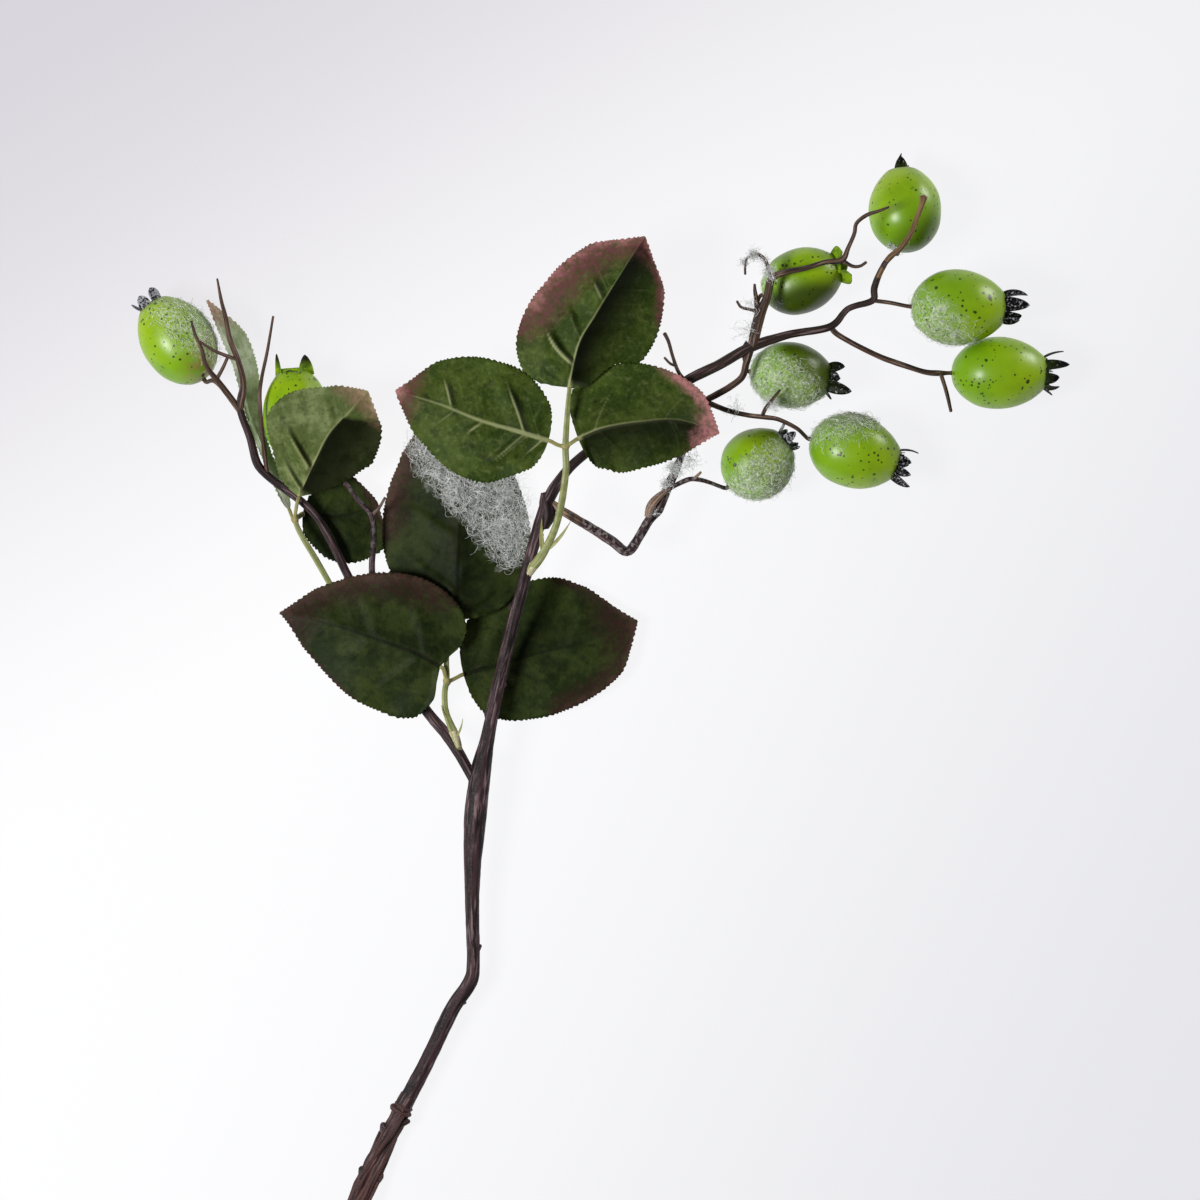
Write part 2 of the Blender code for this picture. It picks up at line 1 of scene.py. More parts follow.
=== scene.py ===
"""The looks of the rose hip sprig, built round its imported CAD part.

The sprig lies on a pale floor and the camera looks straight down on it. Every CAD node is replaced by a
finer mesh: bark-covered twigs, toothed leaflets with raised veins, hips with a dried calyx. Over some of
them lies a web of fine pale fibres. Lengths in the tables are millimetres in the part's own frame.
"""

import json
import math

import bpy
import mathutils
import numpy as np
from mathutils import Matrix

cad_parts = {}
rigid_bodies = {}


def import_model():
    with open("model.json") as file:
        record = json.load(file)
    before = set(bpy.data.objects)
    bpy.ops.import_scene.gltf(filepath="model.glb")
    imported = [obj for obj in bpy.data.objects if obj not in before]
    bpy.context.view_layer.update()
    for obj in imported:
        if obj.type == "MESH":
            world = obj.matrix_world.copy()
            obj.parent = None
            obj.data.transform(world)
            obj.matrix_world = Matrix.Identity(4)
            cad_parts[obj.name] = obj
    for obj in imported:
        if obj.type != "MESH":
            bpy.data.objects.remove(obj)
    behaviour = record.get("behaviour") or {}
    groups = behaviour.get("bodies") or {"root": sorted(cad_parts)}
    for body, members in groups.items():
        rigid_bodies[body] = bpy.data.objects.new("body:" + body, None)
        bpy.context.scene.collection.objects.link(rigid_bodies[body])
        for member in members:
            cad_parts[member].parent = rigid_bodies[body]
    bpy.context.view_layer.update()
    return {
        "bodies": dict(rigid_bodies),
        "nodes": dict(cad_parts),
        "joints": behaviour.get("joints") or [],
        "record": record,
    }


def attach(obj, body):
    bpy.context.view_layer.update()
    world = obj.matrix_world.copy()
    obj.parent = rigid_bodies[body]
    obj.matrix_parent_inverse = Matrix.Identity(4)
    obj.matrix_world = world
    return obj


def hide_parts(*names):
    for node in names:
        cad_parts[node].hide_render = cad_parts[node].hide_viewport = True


MM = 0.001
CLEAR = 0.03             # how far above the surface it lies on every piece stays, in millimetres

# Routes of twigs and stalks, nearly all as the part has them: x, y, z of the centre line, then the radius.
MAIN_STEM = [
    (-65.2, -136, 2.8, 2.8), (-62, -128.5, 3.0, 2.7), (-57.5, -118, 3.2, 2.4), (-51.5, -106, 3.7, 2.2),
    (-45, -93.5, 4.4, 1.95), (-38.5, -80, 5.2, 1.9), (-34, -73, 5.8, 1.85), (-33, -67.5, 6.2, 1.7),
    (-33.3, -52, 7.2, 1.75), (-32.9, -39.5, 8.2, 2.35), (-32.2, -28, 9.1, 2.85), (-31, -19.5, 9.8, 2.6),
    (-29, -10, 11, 1.75), (-26.5, 2.5, 12.2, 1.6), (-22, 21, 14.2, 1.55), (-19, 32.5, 15.4, 1.5),
    (-16, 43, 16.5, 1.5), (-13.5, 49.5, 17.2, 1.55), (-10, 55, 17.8, 1.25), (-5.5, 59.5, 18.2, 1.15),
    (7.5, 69.5, 18.6, 1.2), (21, 78.5, 18.4, 1.3), (29, 82.5, 18.0, 1.3), (37, 87, 17.5, 1.3),
    (46.5, 90, 16.8, 1.0), (56.5, 92, 16.0, 0.95), (61, 96.5, 16, 0.8), (67, 98.5, 16.2, 0.85),
    (67.4, 101.5, 16.8, 0.85), (68.8, 105.5, 18, 0.75), (71, 109, 19.8, 0.7), (73.5, 111, 21.2, 0.7),
    (76, 114.5, 22.2, 0.65), (77.5, 118.5, 22.9, 0.6), (78.7, 121.8, 23.3, 0.7), (79.1, 123.6, 23.4, 1.05),
]
HIP_3_STALK = [
    (72.6, 110.2, 17.5, 0.6), (73.4, 110.4, 13.5, 0.55), (73.85, 110.95, 11, 0.5), (74.1, 112.2, 10.5, 0.7),
]
LEFT_BRANCH = [
    (-31.8, -23.5, 9.4, 1.2), (-33.3, -20.5, 9.3, 1.3), (-36.9, -14.3, 8.6, 1.4), (-40, -10, 7.6, 1.45),
    (-45, -4, 6.0, 1.4), (-51.5, 5.5, 4.6, 1.3), (-58.5, 18, 4.4, 1.2), (-65, 30.5, 6.0, 1.1),
    (-68, 37, 7.4, 1.05), (-71.5, 43.5, 8.6, 1.0), (-75.5, 48, 9.4, 1.0), (-80, 51.5, 10.3, 1.0),
    (-84, 54.5, 11.2, 1.0), (-87, 58, 12.2, 1.1), (-88.5, 64, 13.2, 0.95), (-91, 71.5, 14.6, 0.9),
    (-90, 77.5, 16.5, 0.75), (-91, 83, 18.2, 0.7), (-93, 88.5, 19.4, 0.65), (-94, 94, 20.2, 0.55),
    (-95, 98, 20.6, 0.45), (-96, 103.5, 21, 0.25),
]
LEFT_BRISTLE = [
    (-84.5, 55, 11.3, 0.6), (-85.3, 64, 14.8, 0.55), (-86, 74, 15.5, 0.5), (-85.5, 79, 16, 0.45),
    (-84, 86, 16.5, 0.4), (-82.5, 94.5, 17, 0.3),
]
LEFT_FORK = [
    (-91, 71, 14.6, 0.8), (-93.5, 74.5, 15.3, 0.8), (-96.5, 78.5, 16.6, 0.75), (-99, 82, 18.2, 0.55),
    (-100, 86, 19.6, 0.5), (-101.5, 89.5, 20.3, 0.4), (-102.5, 93, 20.6, 0.3),
]
LEFT_LINK = [(-96.3, 79.3, 17, 0.5), (-94.9, 81.6, 18.2, 0.45), (-93.6, 84.2, 19.2, 0.4)]
HIP_1_STALK = [(-94.8, 76.2, 15.8, 0.55), (-97, 78.3, 15.2, 0.6), (-98.5, 78.8, 12.4, 0.55)]
LEFT_CROSS = [
    (-91, 83.5, 18.3, 0.45), (-94, 84.5, 19.5, 0.45), (-97.5, 86, 20.2, 0.4), (-100.5, 88, 20.2, 0.3),
]
INNER_TWIG = [
    (-56.5, 14, 4.4, 1.0), (-58, 24, 6.5, 0.85), (-58.5, 32, 8, 0.8), (-58, 39, 9, 0.75),
    (-58.5, 45, 9.8, 0.75), (-62, 49, 10.2, 0.65), (-64.5, 52.5, 9.4, 0.6), (-68, 55.5, 8.2, 0.5),
]
INNER_STUB = [(-58.5, 45, 9.8, 0.5), (-56.5, 47, 10.3, 0.4), (-55, 49.5, 10.8, 0.3)]
RIGHT_SPUR = [
    (-13.5, 48, 17.1, 1.1), (-9.5, 45.5, 16.5, 1.1), (-3.5, 42, 15.2, 1.2), (2, 38.5, 14, 1.25),
    (5.9, 36, 13.2, 1.2), (9, 40, 13.2, 1.1), (11.3, 43.8, 13.1, 1.15), (13.3, 46.2, 12.8, 1.25),
    (14.6, 48.7, 12.4, 1.2), (16, 52.1, 11.9, 1.15), (17.4, 55.1, 11.5, 1.1), (18.6, 58, 11.2, 1.0),
    (20.5, 62.5, 11, 0.7),
]
SPUR_TWIG = [
    (11.1, 44.6, 13.6, 1.0), (11.5, 46.6, 14.1, 1.15), (12.4, 48.2, 14.4, 1.05), (13.8, 49.7, 14.4, 0.85),
    (15.4, 50.9, 14.2, 0.65), (17.4, 52.2, 13.8, 0.6), (20.2, 53.6, 13, 0.65), (22, 54.1, 12.5, 0.6),
    (24.6, 53.8, 11.6, 0.55), (27.1, 53.1, 10.2, 0.5),
]
SPUR_STUB = [(22.5, 54.1, 12.4, 0.45), (24.3, 55.8, 13.4, 0.3)]
UPRIGHT_TWIG = [
    (37, 87, 17.5, 1.3), (37.6, 90, 18.3, 1.35), (38.7, 94.5, 19.3, 1.35), (40.5, 99, 20.4, 1.05),
    (41.6, 103.5, 21.7, 0.95), (45, 105, 22.3, 0.75), (50, 106, 22.4, 0.65), (55, 107.5, 22.3, 0.65),
    (59, 108, 22, 0.75), (60.5, 111, 22.2, 0.55), (62, 114.5, 22.8, 0.5), (62.5, 117, 23.1, 0.5),
    (65, 119, 23.4, 0.5), (68, 120, 23.6, 0.4), (70.5, 121, 23.6, 0.3),
]
UPRIGHT_HOOK = [
    (59, 108, 22, 0.55), (61.5, 106.5, 22.1, 0.45), (63.5, 106.5, 22.2, 0.4), (65, 107.5, 22.3, 0.35),
]
WEB_HOOK = [
    (41.5, 103, 21.6, 0.6), (40.5, 106.5, 22.3, 0.5), (39.5, 108.5, 22.6, 0.45), (37.5, 109.5, 22.7, 0.4),
    (35.5, 108.5, 22.5, 0.35), (35, 106.5, 22.2, 0.3), (35, 104.5, 21.8, 0.3),
]
UPRIGHT_STUB = [
    (38.2, 94, 19.1, 0.8), (37.9, 98, 19.9, 0.6), (37.5, 100.5, 20.3, 0.45), (37.4, 102.2, 20.5, 0.3),
]
UPRIGHT_SPUR = [(38, 95.5, 19.4, 0.45), (36, 96, 20, 0.4), (34, 96.5, 20.4, 0.35), (33, 98, 20.5, 0.3)]
LOWER_TWIG = [
    (36.5, 86, 17.4, 0.95), (35.5, 83, 16.8, 0.9), (34.5, 79.5, 16, 0.85), (31.5, 77, 15.4, 0.85),
    (28, 75, 15, 0.85), (25.5, 73.5, 14.8, 0.85), (27.5, 72.5, 14.6, 0.7), (31.5, 71, 14.3, 0.65),
    (36, 70, 14.3, 0.6), (39.5, 69.5, 15.2, 0.6), (43.5, 68.9, 15.6, 0.55), (48.3, 66.8, 12.6, 0.5),
]
LOWER_STUB = [(39.5, 69.5, 15, 0.5), (40.3, 71.5, 17, 0.5), (42, 73.8, 18.6, 0.4), (43.8, 76, 19.2, 0.3)]
END_TWIG = [
    (56.5, 92, 16, 0.7), (58.5, 90, 15.6, 0.7), (64, 87, 14.6, 0.7), (69.5, 84.5, 13.5, 0.7),
    (75.5, 82.5, 12.5, 0.7), (80.5, 81, 11.6, 0.7), (84, 80.8, 10.4, 0.75),
]
END_STUB = [(84.6, 80.8, 10.4, 0.55), (85.9, 76, 12.0, 0.5), (87, 71, 12.6, 0.4)]
BARE_TWIG = [
    (20.5, 78, 18.4, 0.6), (18.5, 80.5, 19, 0.5), (17, 84.5, 19.6, 0.45), (16, 88, 20, 0.45),
    (15, 90, 20.3, 0.5),
]
BARE_KNOB = [(18, 82, 19.2, 0.4), (16.5, 82.5, 19.6, 0.35), (15, 84, 20, 0.3)]
PEDICELS = {
    "2": [(-80.5, 51.5, 10.3, 0.6), (-79.5, 54.5, 9.6, 0.55)],
    "4": [(38.5, 92, 18.3, 0.5), (39.3, 95, 14.8, 0.5), (38.6, 98, 10.8, 0.5)],
    "5": [(67, 98.5, 16.2, 0.55), (71.5, 98, 15.6, 0.5)],
    "7": [(36, 85, 17.2, 0.5), (35, 85.5, 13.5, 0.5)],
}
UPPER_STALK = [
    (-20.0, 28.6, 13.6, 0.5), (-18.2, 31.4, 16.2, 0.95), (-14.8, 36.0, 19, 0.95), (-11.5, 43.5, 22, 0.9),
    (-9.5, 54.5, 25, 0.85), (-9.5, 62, 26.5, 0.8), (-9, 70.5, 27.2, 0.65), (-8.6, 75, 27.2, 0.55),
]
UPPER_PETIOLULES = [
    [(-9.5, 61.5, 26.5, 0.55), (-11.5, 62, 27, 0.5), (-13, 62.8, 27, 0.5)],
    [(-9.5, 61.5, 26.5, 0.55), (-8, 62.5, 27, 0.5), (-7, 63.2, 27, 0.5)],
]
LOWER_STALK = [
    (-35.9, -15.6, 8.2, 0.5), (-37.3, -10.5, 10.8, 0.85), (-39.5, -5, 11.4, 0.75), (-40, 0, 11.4, 0.75),
    (-39.5, 4, 11.2, 0.75), (-39.5, 10, 10.6, 0.65), (-38, 15.5, 9.8, 0.6), (-37.3, 18, 9.5, 0.5),
]
LOWER_PETIOLULES = [
    [(-39.5, 3.5, 11.2, 0.6), (-40, 5.5, 12.4, 0.5), (-40.3, 6.5, 12.6, 0.5)],
    [(-39.5, 3, 11, 0.55), (-37.5, 4, 10.2, 0.5), (-36, 4.8, 9.6, 0.5)],
]
SIDE_STALK = [
    (-57.4, 15.8, 4.5, 0.8), (-60.5, 16.6, 5.2, 0.8), (-63.5, 18.5, 6, 0.8), (-68, 26, 8, 0.75),
    (-72.5, 34, 9.6, 0.75), (-76.3, 40.5, 10.4, 0.7), (-77.8, 44, 10.4, 0.65),
]
SIDE_PETIOLULES = [
    [(-77.6, 43.6, 10.4, 0.5), (-77.4, 45.8, 11.8, 0.45), (-76.8, 48.8, 12.4, 0.45)],
    [(-77.8, 43.8, 10.4, 0.5), (-78.6, 45, 9.8, 0.45), (-79, 46, 9.3, 0.45)],
]
# The swelling where the right spur leaves the main stem.
SPUR_NODE = [
    (-14.6, 50.6, 17.0, 1.1), (-14.2, 47.8, 17.0, 1.8), (-14.0, 44.8, 16.8, 1.75), (-14.8, 41.8, 16.4, 1.0),
]
STRANDS_END = -105.0     # y where the peeling strands of the stem's foot run into whole bark
BARE_TIP_Y = 106         # past this y and this height, hip 3's stalk has left the fruiting branch's bare tip
BARE_TIP_Z = 19.5
LEFT_DARK_ROWS = 17      # rows of the left branch's route before its bark is worn tan
LATE_BARK = (166, 190)   # millimetres along a twig's bark between which it turns browner
BARE_WOOD = (6.5, 10.5)  # millimetres along the flaky spur between which its bare beige wood ends
# Strands of the stem's foot: turn about its middle line in radians, share of its radius, how peeled it is.
STRANDS = [(0.3, 0.62, 0.9), (2.5, 0.58, 0.35), (4.4, 0.52, 0.6)]
STRAND_OUT = 0.52        # how far from the middle line they lie, as a share of the stem's radius
TWIST = 0.07             # how far they turn about it in each millimetre, in radians
# Loose strips of bark on them: the first row they lie on, turn in radians, number of rows.
STRIPS = [(2, 1.2, 14), (9, 2.9, 10), (4, 5.0, 12), (1, 0.2, 9)]
STRIP_RADIUS = 0.5
COLLAR_RINGS = [(-0.8, 0.60), (0.5, 0.45)]   # how far up the stem from the strands' end, and radius
# Small buds, scars and stubs on the stem: share of its length, turn about it in degrees, length, radius.
NUBS = [
    (0.045, 200, 1.5, 1.1), (0.046, 20, 1.3, 1.5), (0.095, 350, 1.9, 0.8), (0.083, 185, 1.4, 1.0),
    (0.20, 20, 0.9, 0.5), (0.245, 10, 0.8, 0.6), (0.43, 190, 0.7, 0.7), (0.455, 10, 0.7, 0.6),
    (0.515, 170, 0.8, 0.8), (0.575, 30, 0.8, 0.6), (0.66, 200, 0.8, 0.55), (0.72, 20, 1.0, 0.55),
    (0.80, 190, 0.9, 0.5),
]
# Bracts at the leaf stalks' feet: start, end, width, how far they bow aside.
STIPULES = [
    ((-15.2, 35.6, 19), (-15.4, 44, 21.8), 1.5, -0.8), ((-13.6, 36.6, 19.8), (-8.2, 43.4, 21.8), 1.2, 1.2),
    ((-37, -10.6, 11.6), (-35.4, -6, 12.6), 0.7, 0.9), ((-39, -7, 11.8), (-40.8, -2.6, 12.4), 0.6, -0.8),
]
STIPULE_STEPS = 16

# Leaflets: midrib, half widths from base to tip on its left and on its right, how steeply the two halves
# rise from the midrib, and the height of the ripples along the margins.
LEAFLETS = {
    "upper_leaflet_tip": (
        [(-8.5, 76, 27), (-6, 86.5, 29.5), (-2, 93.5, 30.5), (3.5, 102.5, 31), (10, 113, 30)],
        [10, 15, 15.8, 15.2, 14, 10.5, 4.5], [3, 8, 14, 15.5, 14.5, 11, 5], -0.22, -0.25, 0.5),
    "upper_leaflet_left": (
        [(-13.7, 63, 27), (-22, 65.5, 28), (-30.5, 68, 28), (-40.5, 72, 27), (-51.5, 75.5, 25)],
        [6, 10.5, 14, 14.5, 12.5, 9, 5], [6.5, 12, 15, 15.3, 14.3, 10, 4], -0.15, -0.12, 0.5),
    "upper_leaflet_right": (
        [(-6.4, 63.5, 27), (0, 66, 28), (9, 67.5, 28), (18.5, 68, 27), (28.5, 65, 24)],
        [8, 12.5, 15, 15.3, 13, 8.5, 4.5], [7.5, 10, 11.5, 11, 10, 8, 3], -0.32, -0.2, 0.5),
    "lower_leaflet_tip": (
        [(-37.1, 18.8, 9.5), (-37, 31.5, 9), (-36.5, 44, 8.5), (-37.5, 59, 8), (-41.5, 74, 7)],
        [7.5, 15, 19, 19.5, 17.5, 13, 7], [8.5, 16, 18, 17.5, 14.5, 10, 5], -0.12, -0.12, 0.5),
    "lower_leaflet_left": (
        [(-41, 7, 12.8), (-47.5, 10.5, 14), (-58.5, 14.5, 14.5), (-70, 18, 13.5), (-81.5, 20.5, 11)],
        [13, 16.5, 17, 16, 12.5, 7.5, 2], [9, 15.5, 18, 17, 13.5, 8, 3.5], -0.2, -0.1, 0.5),
    "lower_leaflet_right": (
        [(-35.4, 5, 9.3), (-26, 7.5, 8.2), (-16, 10.5, 7.2), (-3.5, 13.5, 5.8), (8.5, 18.5, 4)],
        [9, 14.5, 17.5, 18.2, 17.5, 13, 4.5], [8.5, 13.5, 15.5, 16, 14.5, 10.5, 5.5], -0.12, -0.05, 0.4),
    "side_leaflet_folded": (
        [(-76.5, 49.6, 11.8), (-71.5, 59, 17.5), (-68, 65, 20.5), (-63, 70.5, 22), (-58.5, 75.5, 22.5)],
        [4.5, 11, 15.5, 15, 11, 7, 4], [0.5, 7.3, 10.5, 12, 11, 8, 4], 0.05, -0.75, 0.4),
    "side_leaflet_back": (
        [(-76, 45.5, 7.4), (-72, 45, 6.6), (-66.5, 45, 5.9), (-62, 46.2, 5.2), (-57.3, 48.5, 4.4)],
        [3.5, 7, 9, 10, 10.5, 10.5, 8], [4, 7, 10.3, 12, 12, 11, 8], -0.05, -0.1, 0.3),
    "side_leaflet_edge": (
        [(-79.3, 46.6, 9.0), (-83.8, 56.5, 7.8), (-88.8, 69, 8), (-92.8, 84, 9.5), (-99.5, 99, 12)],
        [0.8, 1, 1, 1, 1, 1, 1], [1, 1.6, 1.6, 2.6, 4.2, 4.8, 3], 0.9, -0.9, 0.2),
}

# How far the leaflet's blush reaches, in millimetres: in from its left margin, in from its right margin
# and back from its tip. Then the shares of its length from which the left and the right band rise, and how
# much paler than usual the blush is.
BLUSH = {
    "upper_leaflet_tip": (9.0, 2.8, 5.5, 0.05, 0.50, -0.16),
    "upper_leaflet_left": (2.0, 1.5, 6.0, 0.72, 0.72, -0.10),
    "upper_leaflet_right": (3.6, 2.6, 6.5, 0.52, 0.78, 0.60),
    "lower_leaflet_tip": (6.5, 1.0, 9.0, 0.20, 0.80, 0.0),
    "lower_leaflet_left": (1.2, 7.5, 10.0, 0.30, 0.02, -0.10),
    "lower_leaflet_right": (3.0, 5.5, 11.0, 0.45, 0.30, -0.12),
    "side_leaflet_folded": (0.6, 4.5, 5.5, 0.70, 0.78, 0.0),
    "side_leaflet_back": (2.2, 0.8, 2.4, 0.50, 0.80, 0.0),
    "side_leaflet_edge": (0.5, 0.5, 8.0, 0.80, 0.80, 0.0),
}
# How the leaflet's two halves drop from the midrib in a crease: depth of the left and of the right half,
# how much painted shade darkens each half there, how far out that painted shade reaches, and how far the
# midrib stands up (or sinks, if negative).
LEAF_FORM = {
    "upper_leaflet_tip": (0.6, 4.0, 0.05, 1.00, 8.0, 0.45),
    "upper_leaflet_left": (1.0, 0.8, 0.10, 0.15, 7.0, 0.40),
    "upper_leaflet_right": (1.2, 2.2, 0.25, 0.90, 9.0, 0.45),
    "lower_leaflet_tip": (0.9, 1.4, 0.60, 0.60, 12.0, -0.15),
    "lower_leaflet_left": (0.8, 1.0, 0.20, 0.35, 7.0, -0.35),
    "lower_leaflet_right": (1.0, 0.5, 0.50, 0.20, 7.0, -0.35),
    "side_leaflet_folded": (0.4, 0.6, 0.05, 0.97, 21.0, 0.35),
    "side_leaflet_back": (0.8, 0.6, 0.25, 0.40, 7.0, -0.20),
    "side_leaflet_edge": (0.0, 0.0, 0.00, 0.35, 7.0, 0.20),
}
# Folds along side veins: half (1 is left of the midrib, -1 right), where on the midrib the fold starts and
# how far out it reaches (both as shares), its height, and its steep flank (1 faces the tip, -1 the base).
FOLDS = {
    "upper_leaflet_tip": [
        (1, -0.04, 0.75, 0.9, 1), (1, 0.13, 0.65, 2.2, 1), (1, 0.29, 0.55, 1.0, 1), (1, 0.54, 0.45, 1.7, 1),
        (-1, 0.10, 0.85, 0.5, -1), (-1, 0.38, 0.80, 0.6, -1), (-1, 0.66, 0.80, 0.7, -1)],
    "upper_leaflet_left": [
        (1, 0.03, 0.60, 0.9, 1), (1, 0.15, 0.80, 1.3, 1), (1, 0.42, 0.35, 1.2, 1), (1, 0.60, 0.50, 0.5, 1),
        (-1, 0.16, 0.80, 1.5, -1), (-1, 0.40, 0.60, 0.4, -1), (-1, 0.63, 0.60, 1.3, -1)],
    "upper_leaflet_right": [
        (1, 0.12, 0.75, 0.6, -1), (1, 0.42, 0.60, 0.5, 1), (1, 0.68, 0.50, 0.4, 1),
        (-1, 0.14, 0.70, 0.5, 1), (-1, 0.42, 0.60, 0.4, 1), (-1, 0.66, 0.35, 1.3, -1)],
    "lower_leaflet_tip": [
        (1, 0.12, 0.80, 0.6, 1), (1, 0.36, 0.75, 0.5, 1), (1, 0.62, 0.60, 0.4, 1),
        (-1, 0.02, 0.85, 0.8, -1), (-1, 0.22, 0.85, 0.8, 1), (-1, 0.50, 0.70, 0.5, 1)],
    "lower_leaflet_left": [
        (1, 0.12, 0.75, 0.5, 1), (1, 0.44, 0.60, 0.4, 1), (1, 0.70, 0.50, 0.3, 1),
        (-1, 0.10, 0.80, 0.6, 1), (-1, 0.40, 0.70, 0.5, 1), (-1, 0.66, 0.60, 0.4, -1)],
    "lower_leaflet_right": [
        (1, 0.10, 0.85, 0.7, -1), (1, 0.34, 0.85, 0.8, -1), (1, 0.60, 0.70, 0.5, -1),
        (-1, 0.16, 0.60, 0.6, 1), (-1, 0.36, 0.55, 0.7, 1), (-1, 0.62, 0.50, 0.4, 1)],
    "side_leaflet_folded": [
        (1, 0.05, 0.85, 1.5, 1), (1, 0.24, 0.75, 1.9, 1), (1, 0.62, 0.70, 0.4, 1), (-1, 0.30, 0.80, 0.4, -1)],
    "side_leaflet_back": [(1, 0.20, 0.75, 0.5, 1), (1, 0.55, 0.70, 0.5, 1), (-1, 0.35, 0.70, 0.5, -1)],
    "side_leaflet_edge": [(-1, 0.30, 0.80, 0.3, -1)],
}
FOLD_GENTLE = 3.4        # how far a fold's two flanks run, the gentle and the steep one
FOLD_STEEP = 1.3
CREASE_WIDTH = 3.2
UNTURNED = (0.66, 0.72)  # shares of the folded leaflet between which its right half stops being turned down
UNTURNED_SLANT = 0.8     # and how far that line runs to the tip for each millimetre out from the midrib
LEAF_BASE_ROUND = 0.07
LEAF_TIP_ROUND = 0.17
# How far a leaflet's base runs back beside its stalk.
LOBES = {"lower_leaflet_left": 2.8, "upper_leaflet_tip": 1.2}
FOLDED_LEAFLET = "side_leaflet_folded"
WEBBED_LEAFLET = "lower_leaflet_tip"
LEAF_END_HALF_WIDTH = 0.35
LEAF_RINGS = 172         # steps from base to tip
LEAF_COLUMNS = 24        # steps from midrib to margin
LEAF_SKIN = 0.32         # thickness of the blade
TOOTH_PITCH = 1.15
TOOTH_HEIGHT = 0.44
TOOTH_LEAN = 0.72        # share of a tooth's length that rises to its point
LATERALS = 9             # faint side veins on each half of a blade
LATERAL_SLANT = 0.65     # how far a side vein runs forward for each millimetre outward
LATERAL_CURVE = 0.004    # and how much it bends on towards the tip

# The dried sepals of each hip: turn about the axis (0 is beside the hip, 90 on top), spread from the axis
# (both in degrees), length, width and curl (how far the tip bends outward, or inward if negative).
SEPALS = {
    "1": [
        (178, 32, 4.2, 3.0, -0.1), (112, 12, 4.2, 3.0, 0.2), (48, 8, 4.4, 3.2, 0.1),
        (300, 14, 4.0, 3.0, 0.1), (235, 14, 4.0, 3.0, 0.1)],
    "2": [
        (150, 0, 5.6, 4.4, 0.2), (40, 6, 4.9, 7.0, 0.0), (98, 10, 1.2, 5.0, 0.0),
        (205, 10, 1.6, 4.6, 0.0), (300, 12, 1.8, 5.0, 0.0)],
    "3": [
        (20, -14, 4.8, 2.6, -0.1), (90, -13, 4.6, 2.7, -0.1), (160, -16, 5.5, 2.7, -0.1),
        (235, -13, 4.6, 2.6, -0.1), (305, -14, 4.7, 2.6, -0.1)],
    "4": [
        (135, 40, 4.0, 5.0, -0.3), (40, 40, 4.2, 5.0, -0.3), (178, 46, 3.4, 2.6, -0.5),
        (88, 50, 2.4, 3.0, -0.3), (262, 40, 4.0, 3.6, -0.3)],
    "5": [
        (142, 42, 7.0, 3.8, -1.1), (100, 14, 7.2, 4.4, -0.5), (48, 32, 5.4, 4.4, -0.9),
        (14, 38, 5.2, 3.6, -1.1), (255, 24, 5.2, 3.6, 0.1)],
    "6": [
        (168, 38, 6.0, 2.0, -0.6), (116, 14, 6.8, 3.4, -0.3), (66, 30, 4.4, 3.6, -1.0),
        (24, 32, 4.6, 3.2, -0.8), (330, 36, 4.4, 2.0, 0.2)],
    "7": [
        (132, 40, 4.8, 4.4, -0.5), (55, 20, 7.0, 4.2, 0.0), (98, 34, 3.4, 3.2, -0.4),
        (8, 50, 3.2, 2.6, 0.1), (262, 26, 4.6, 3.4, 0.1)],
    "8": [
        (165, 36, 5.8, 1.6, -0.8), (108, 16, 4.4, 3.0, -0.5), (62, 24, 5.2, 3.2, -0.2),
        (28, 32, 6.2, 4.6, -0.2), (262, 24, 5.0, 3.2, 0.1)],
    "9": [
        (165, 22, 4.6, 2.4, 0.1), (92, 16, 4.8, 2.6, 0.1), (30, 26, 3.6, 2.4, 0.2),
        (240, 26, 3.6, 2.4, 0.2), (310, 24, 3.6, 2.4, 0.2)],
}
# Each crown: radius of its rim, how blunt its sepals are, how green they are, how pale with frost and fluff,
# how dark their tips are, and the length of its stamens as a share of the usual.
CROWNS = {
    "1": (2.3, 4.0, 0.0, 0.95, 0.95, 1.0),
    "2": (3.8, 0.9, 1.0, 0.0, 0.95, 0.4),
    "3": (1.5, 1.6, 0.12, 0.15, 0.95, 1.0),
    "4": (2.2, 7.0, 1.0, 0.0, 0.15, 1.0),
    "5": (2.8, 1.4, 0.0, 0.40, 0.95, 1.0),
    "6": (3.4, 1.4, 0.05, 0.0, 0.95, 1.0),
    "7": (2.7, 1.8, 0.03, 0.20, 0.95, 1.0),
    "8": (2.9, 1.5, 0.0, 0.45, 0.95, 1.0),
    "9": (2.0, 2.4, 0.03, 0.80, 0.95, 1.0),
}
SEPAL_STEPS = 14
SEPAL_THICKNESS = 0.28
RIM_RADIUS = 0.6
STAMENS = 34
HIP_AROUND = 72
HIP_ALONG = 60
HIP_RIBS = 5
RIB_HEIGHT = 0.018       # of a hip's faint ribs and lumps, as a share of its radius
LUMP_HEIGHT = 0.02
# Hip outline: share of the length from the stalk end, share of the greatest radius.
HIP_PROFILE = [
    (0.0, 0.0), (-0.002, 0.10), (0.006, 0.24), (0.04, 0.44), (0.13, 0.70), (0.28, 0.92), (0.48, 1.0),
    (0.66, 0.95), (0.82, 0.78), (0.93, 0.57), (0.985, 0.42), (1.0, 0.30), (0.992, 0.14), (0.99, 0.0),
]

# Where pale haze lies on a hip: the heading it faces, how far round it reaches (a cosine), how thick it is.
HAZE = {
    "1": (50, -0.05, 0.8), "5": (222, 0.25, 0.9), "7": (235, -0.35, 1.0), "8": (112, 0.34, 0.8),
    "9": (305, -0.25, 1.0), "4": (200, 0.75, 0.6), "3": (262, 0.86, 0.5),
}
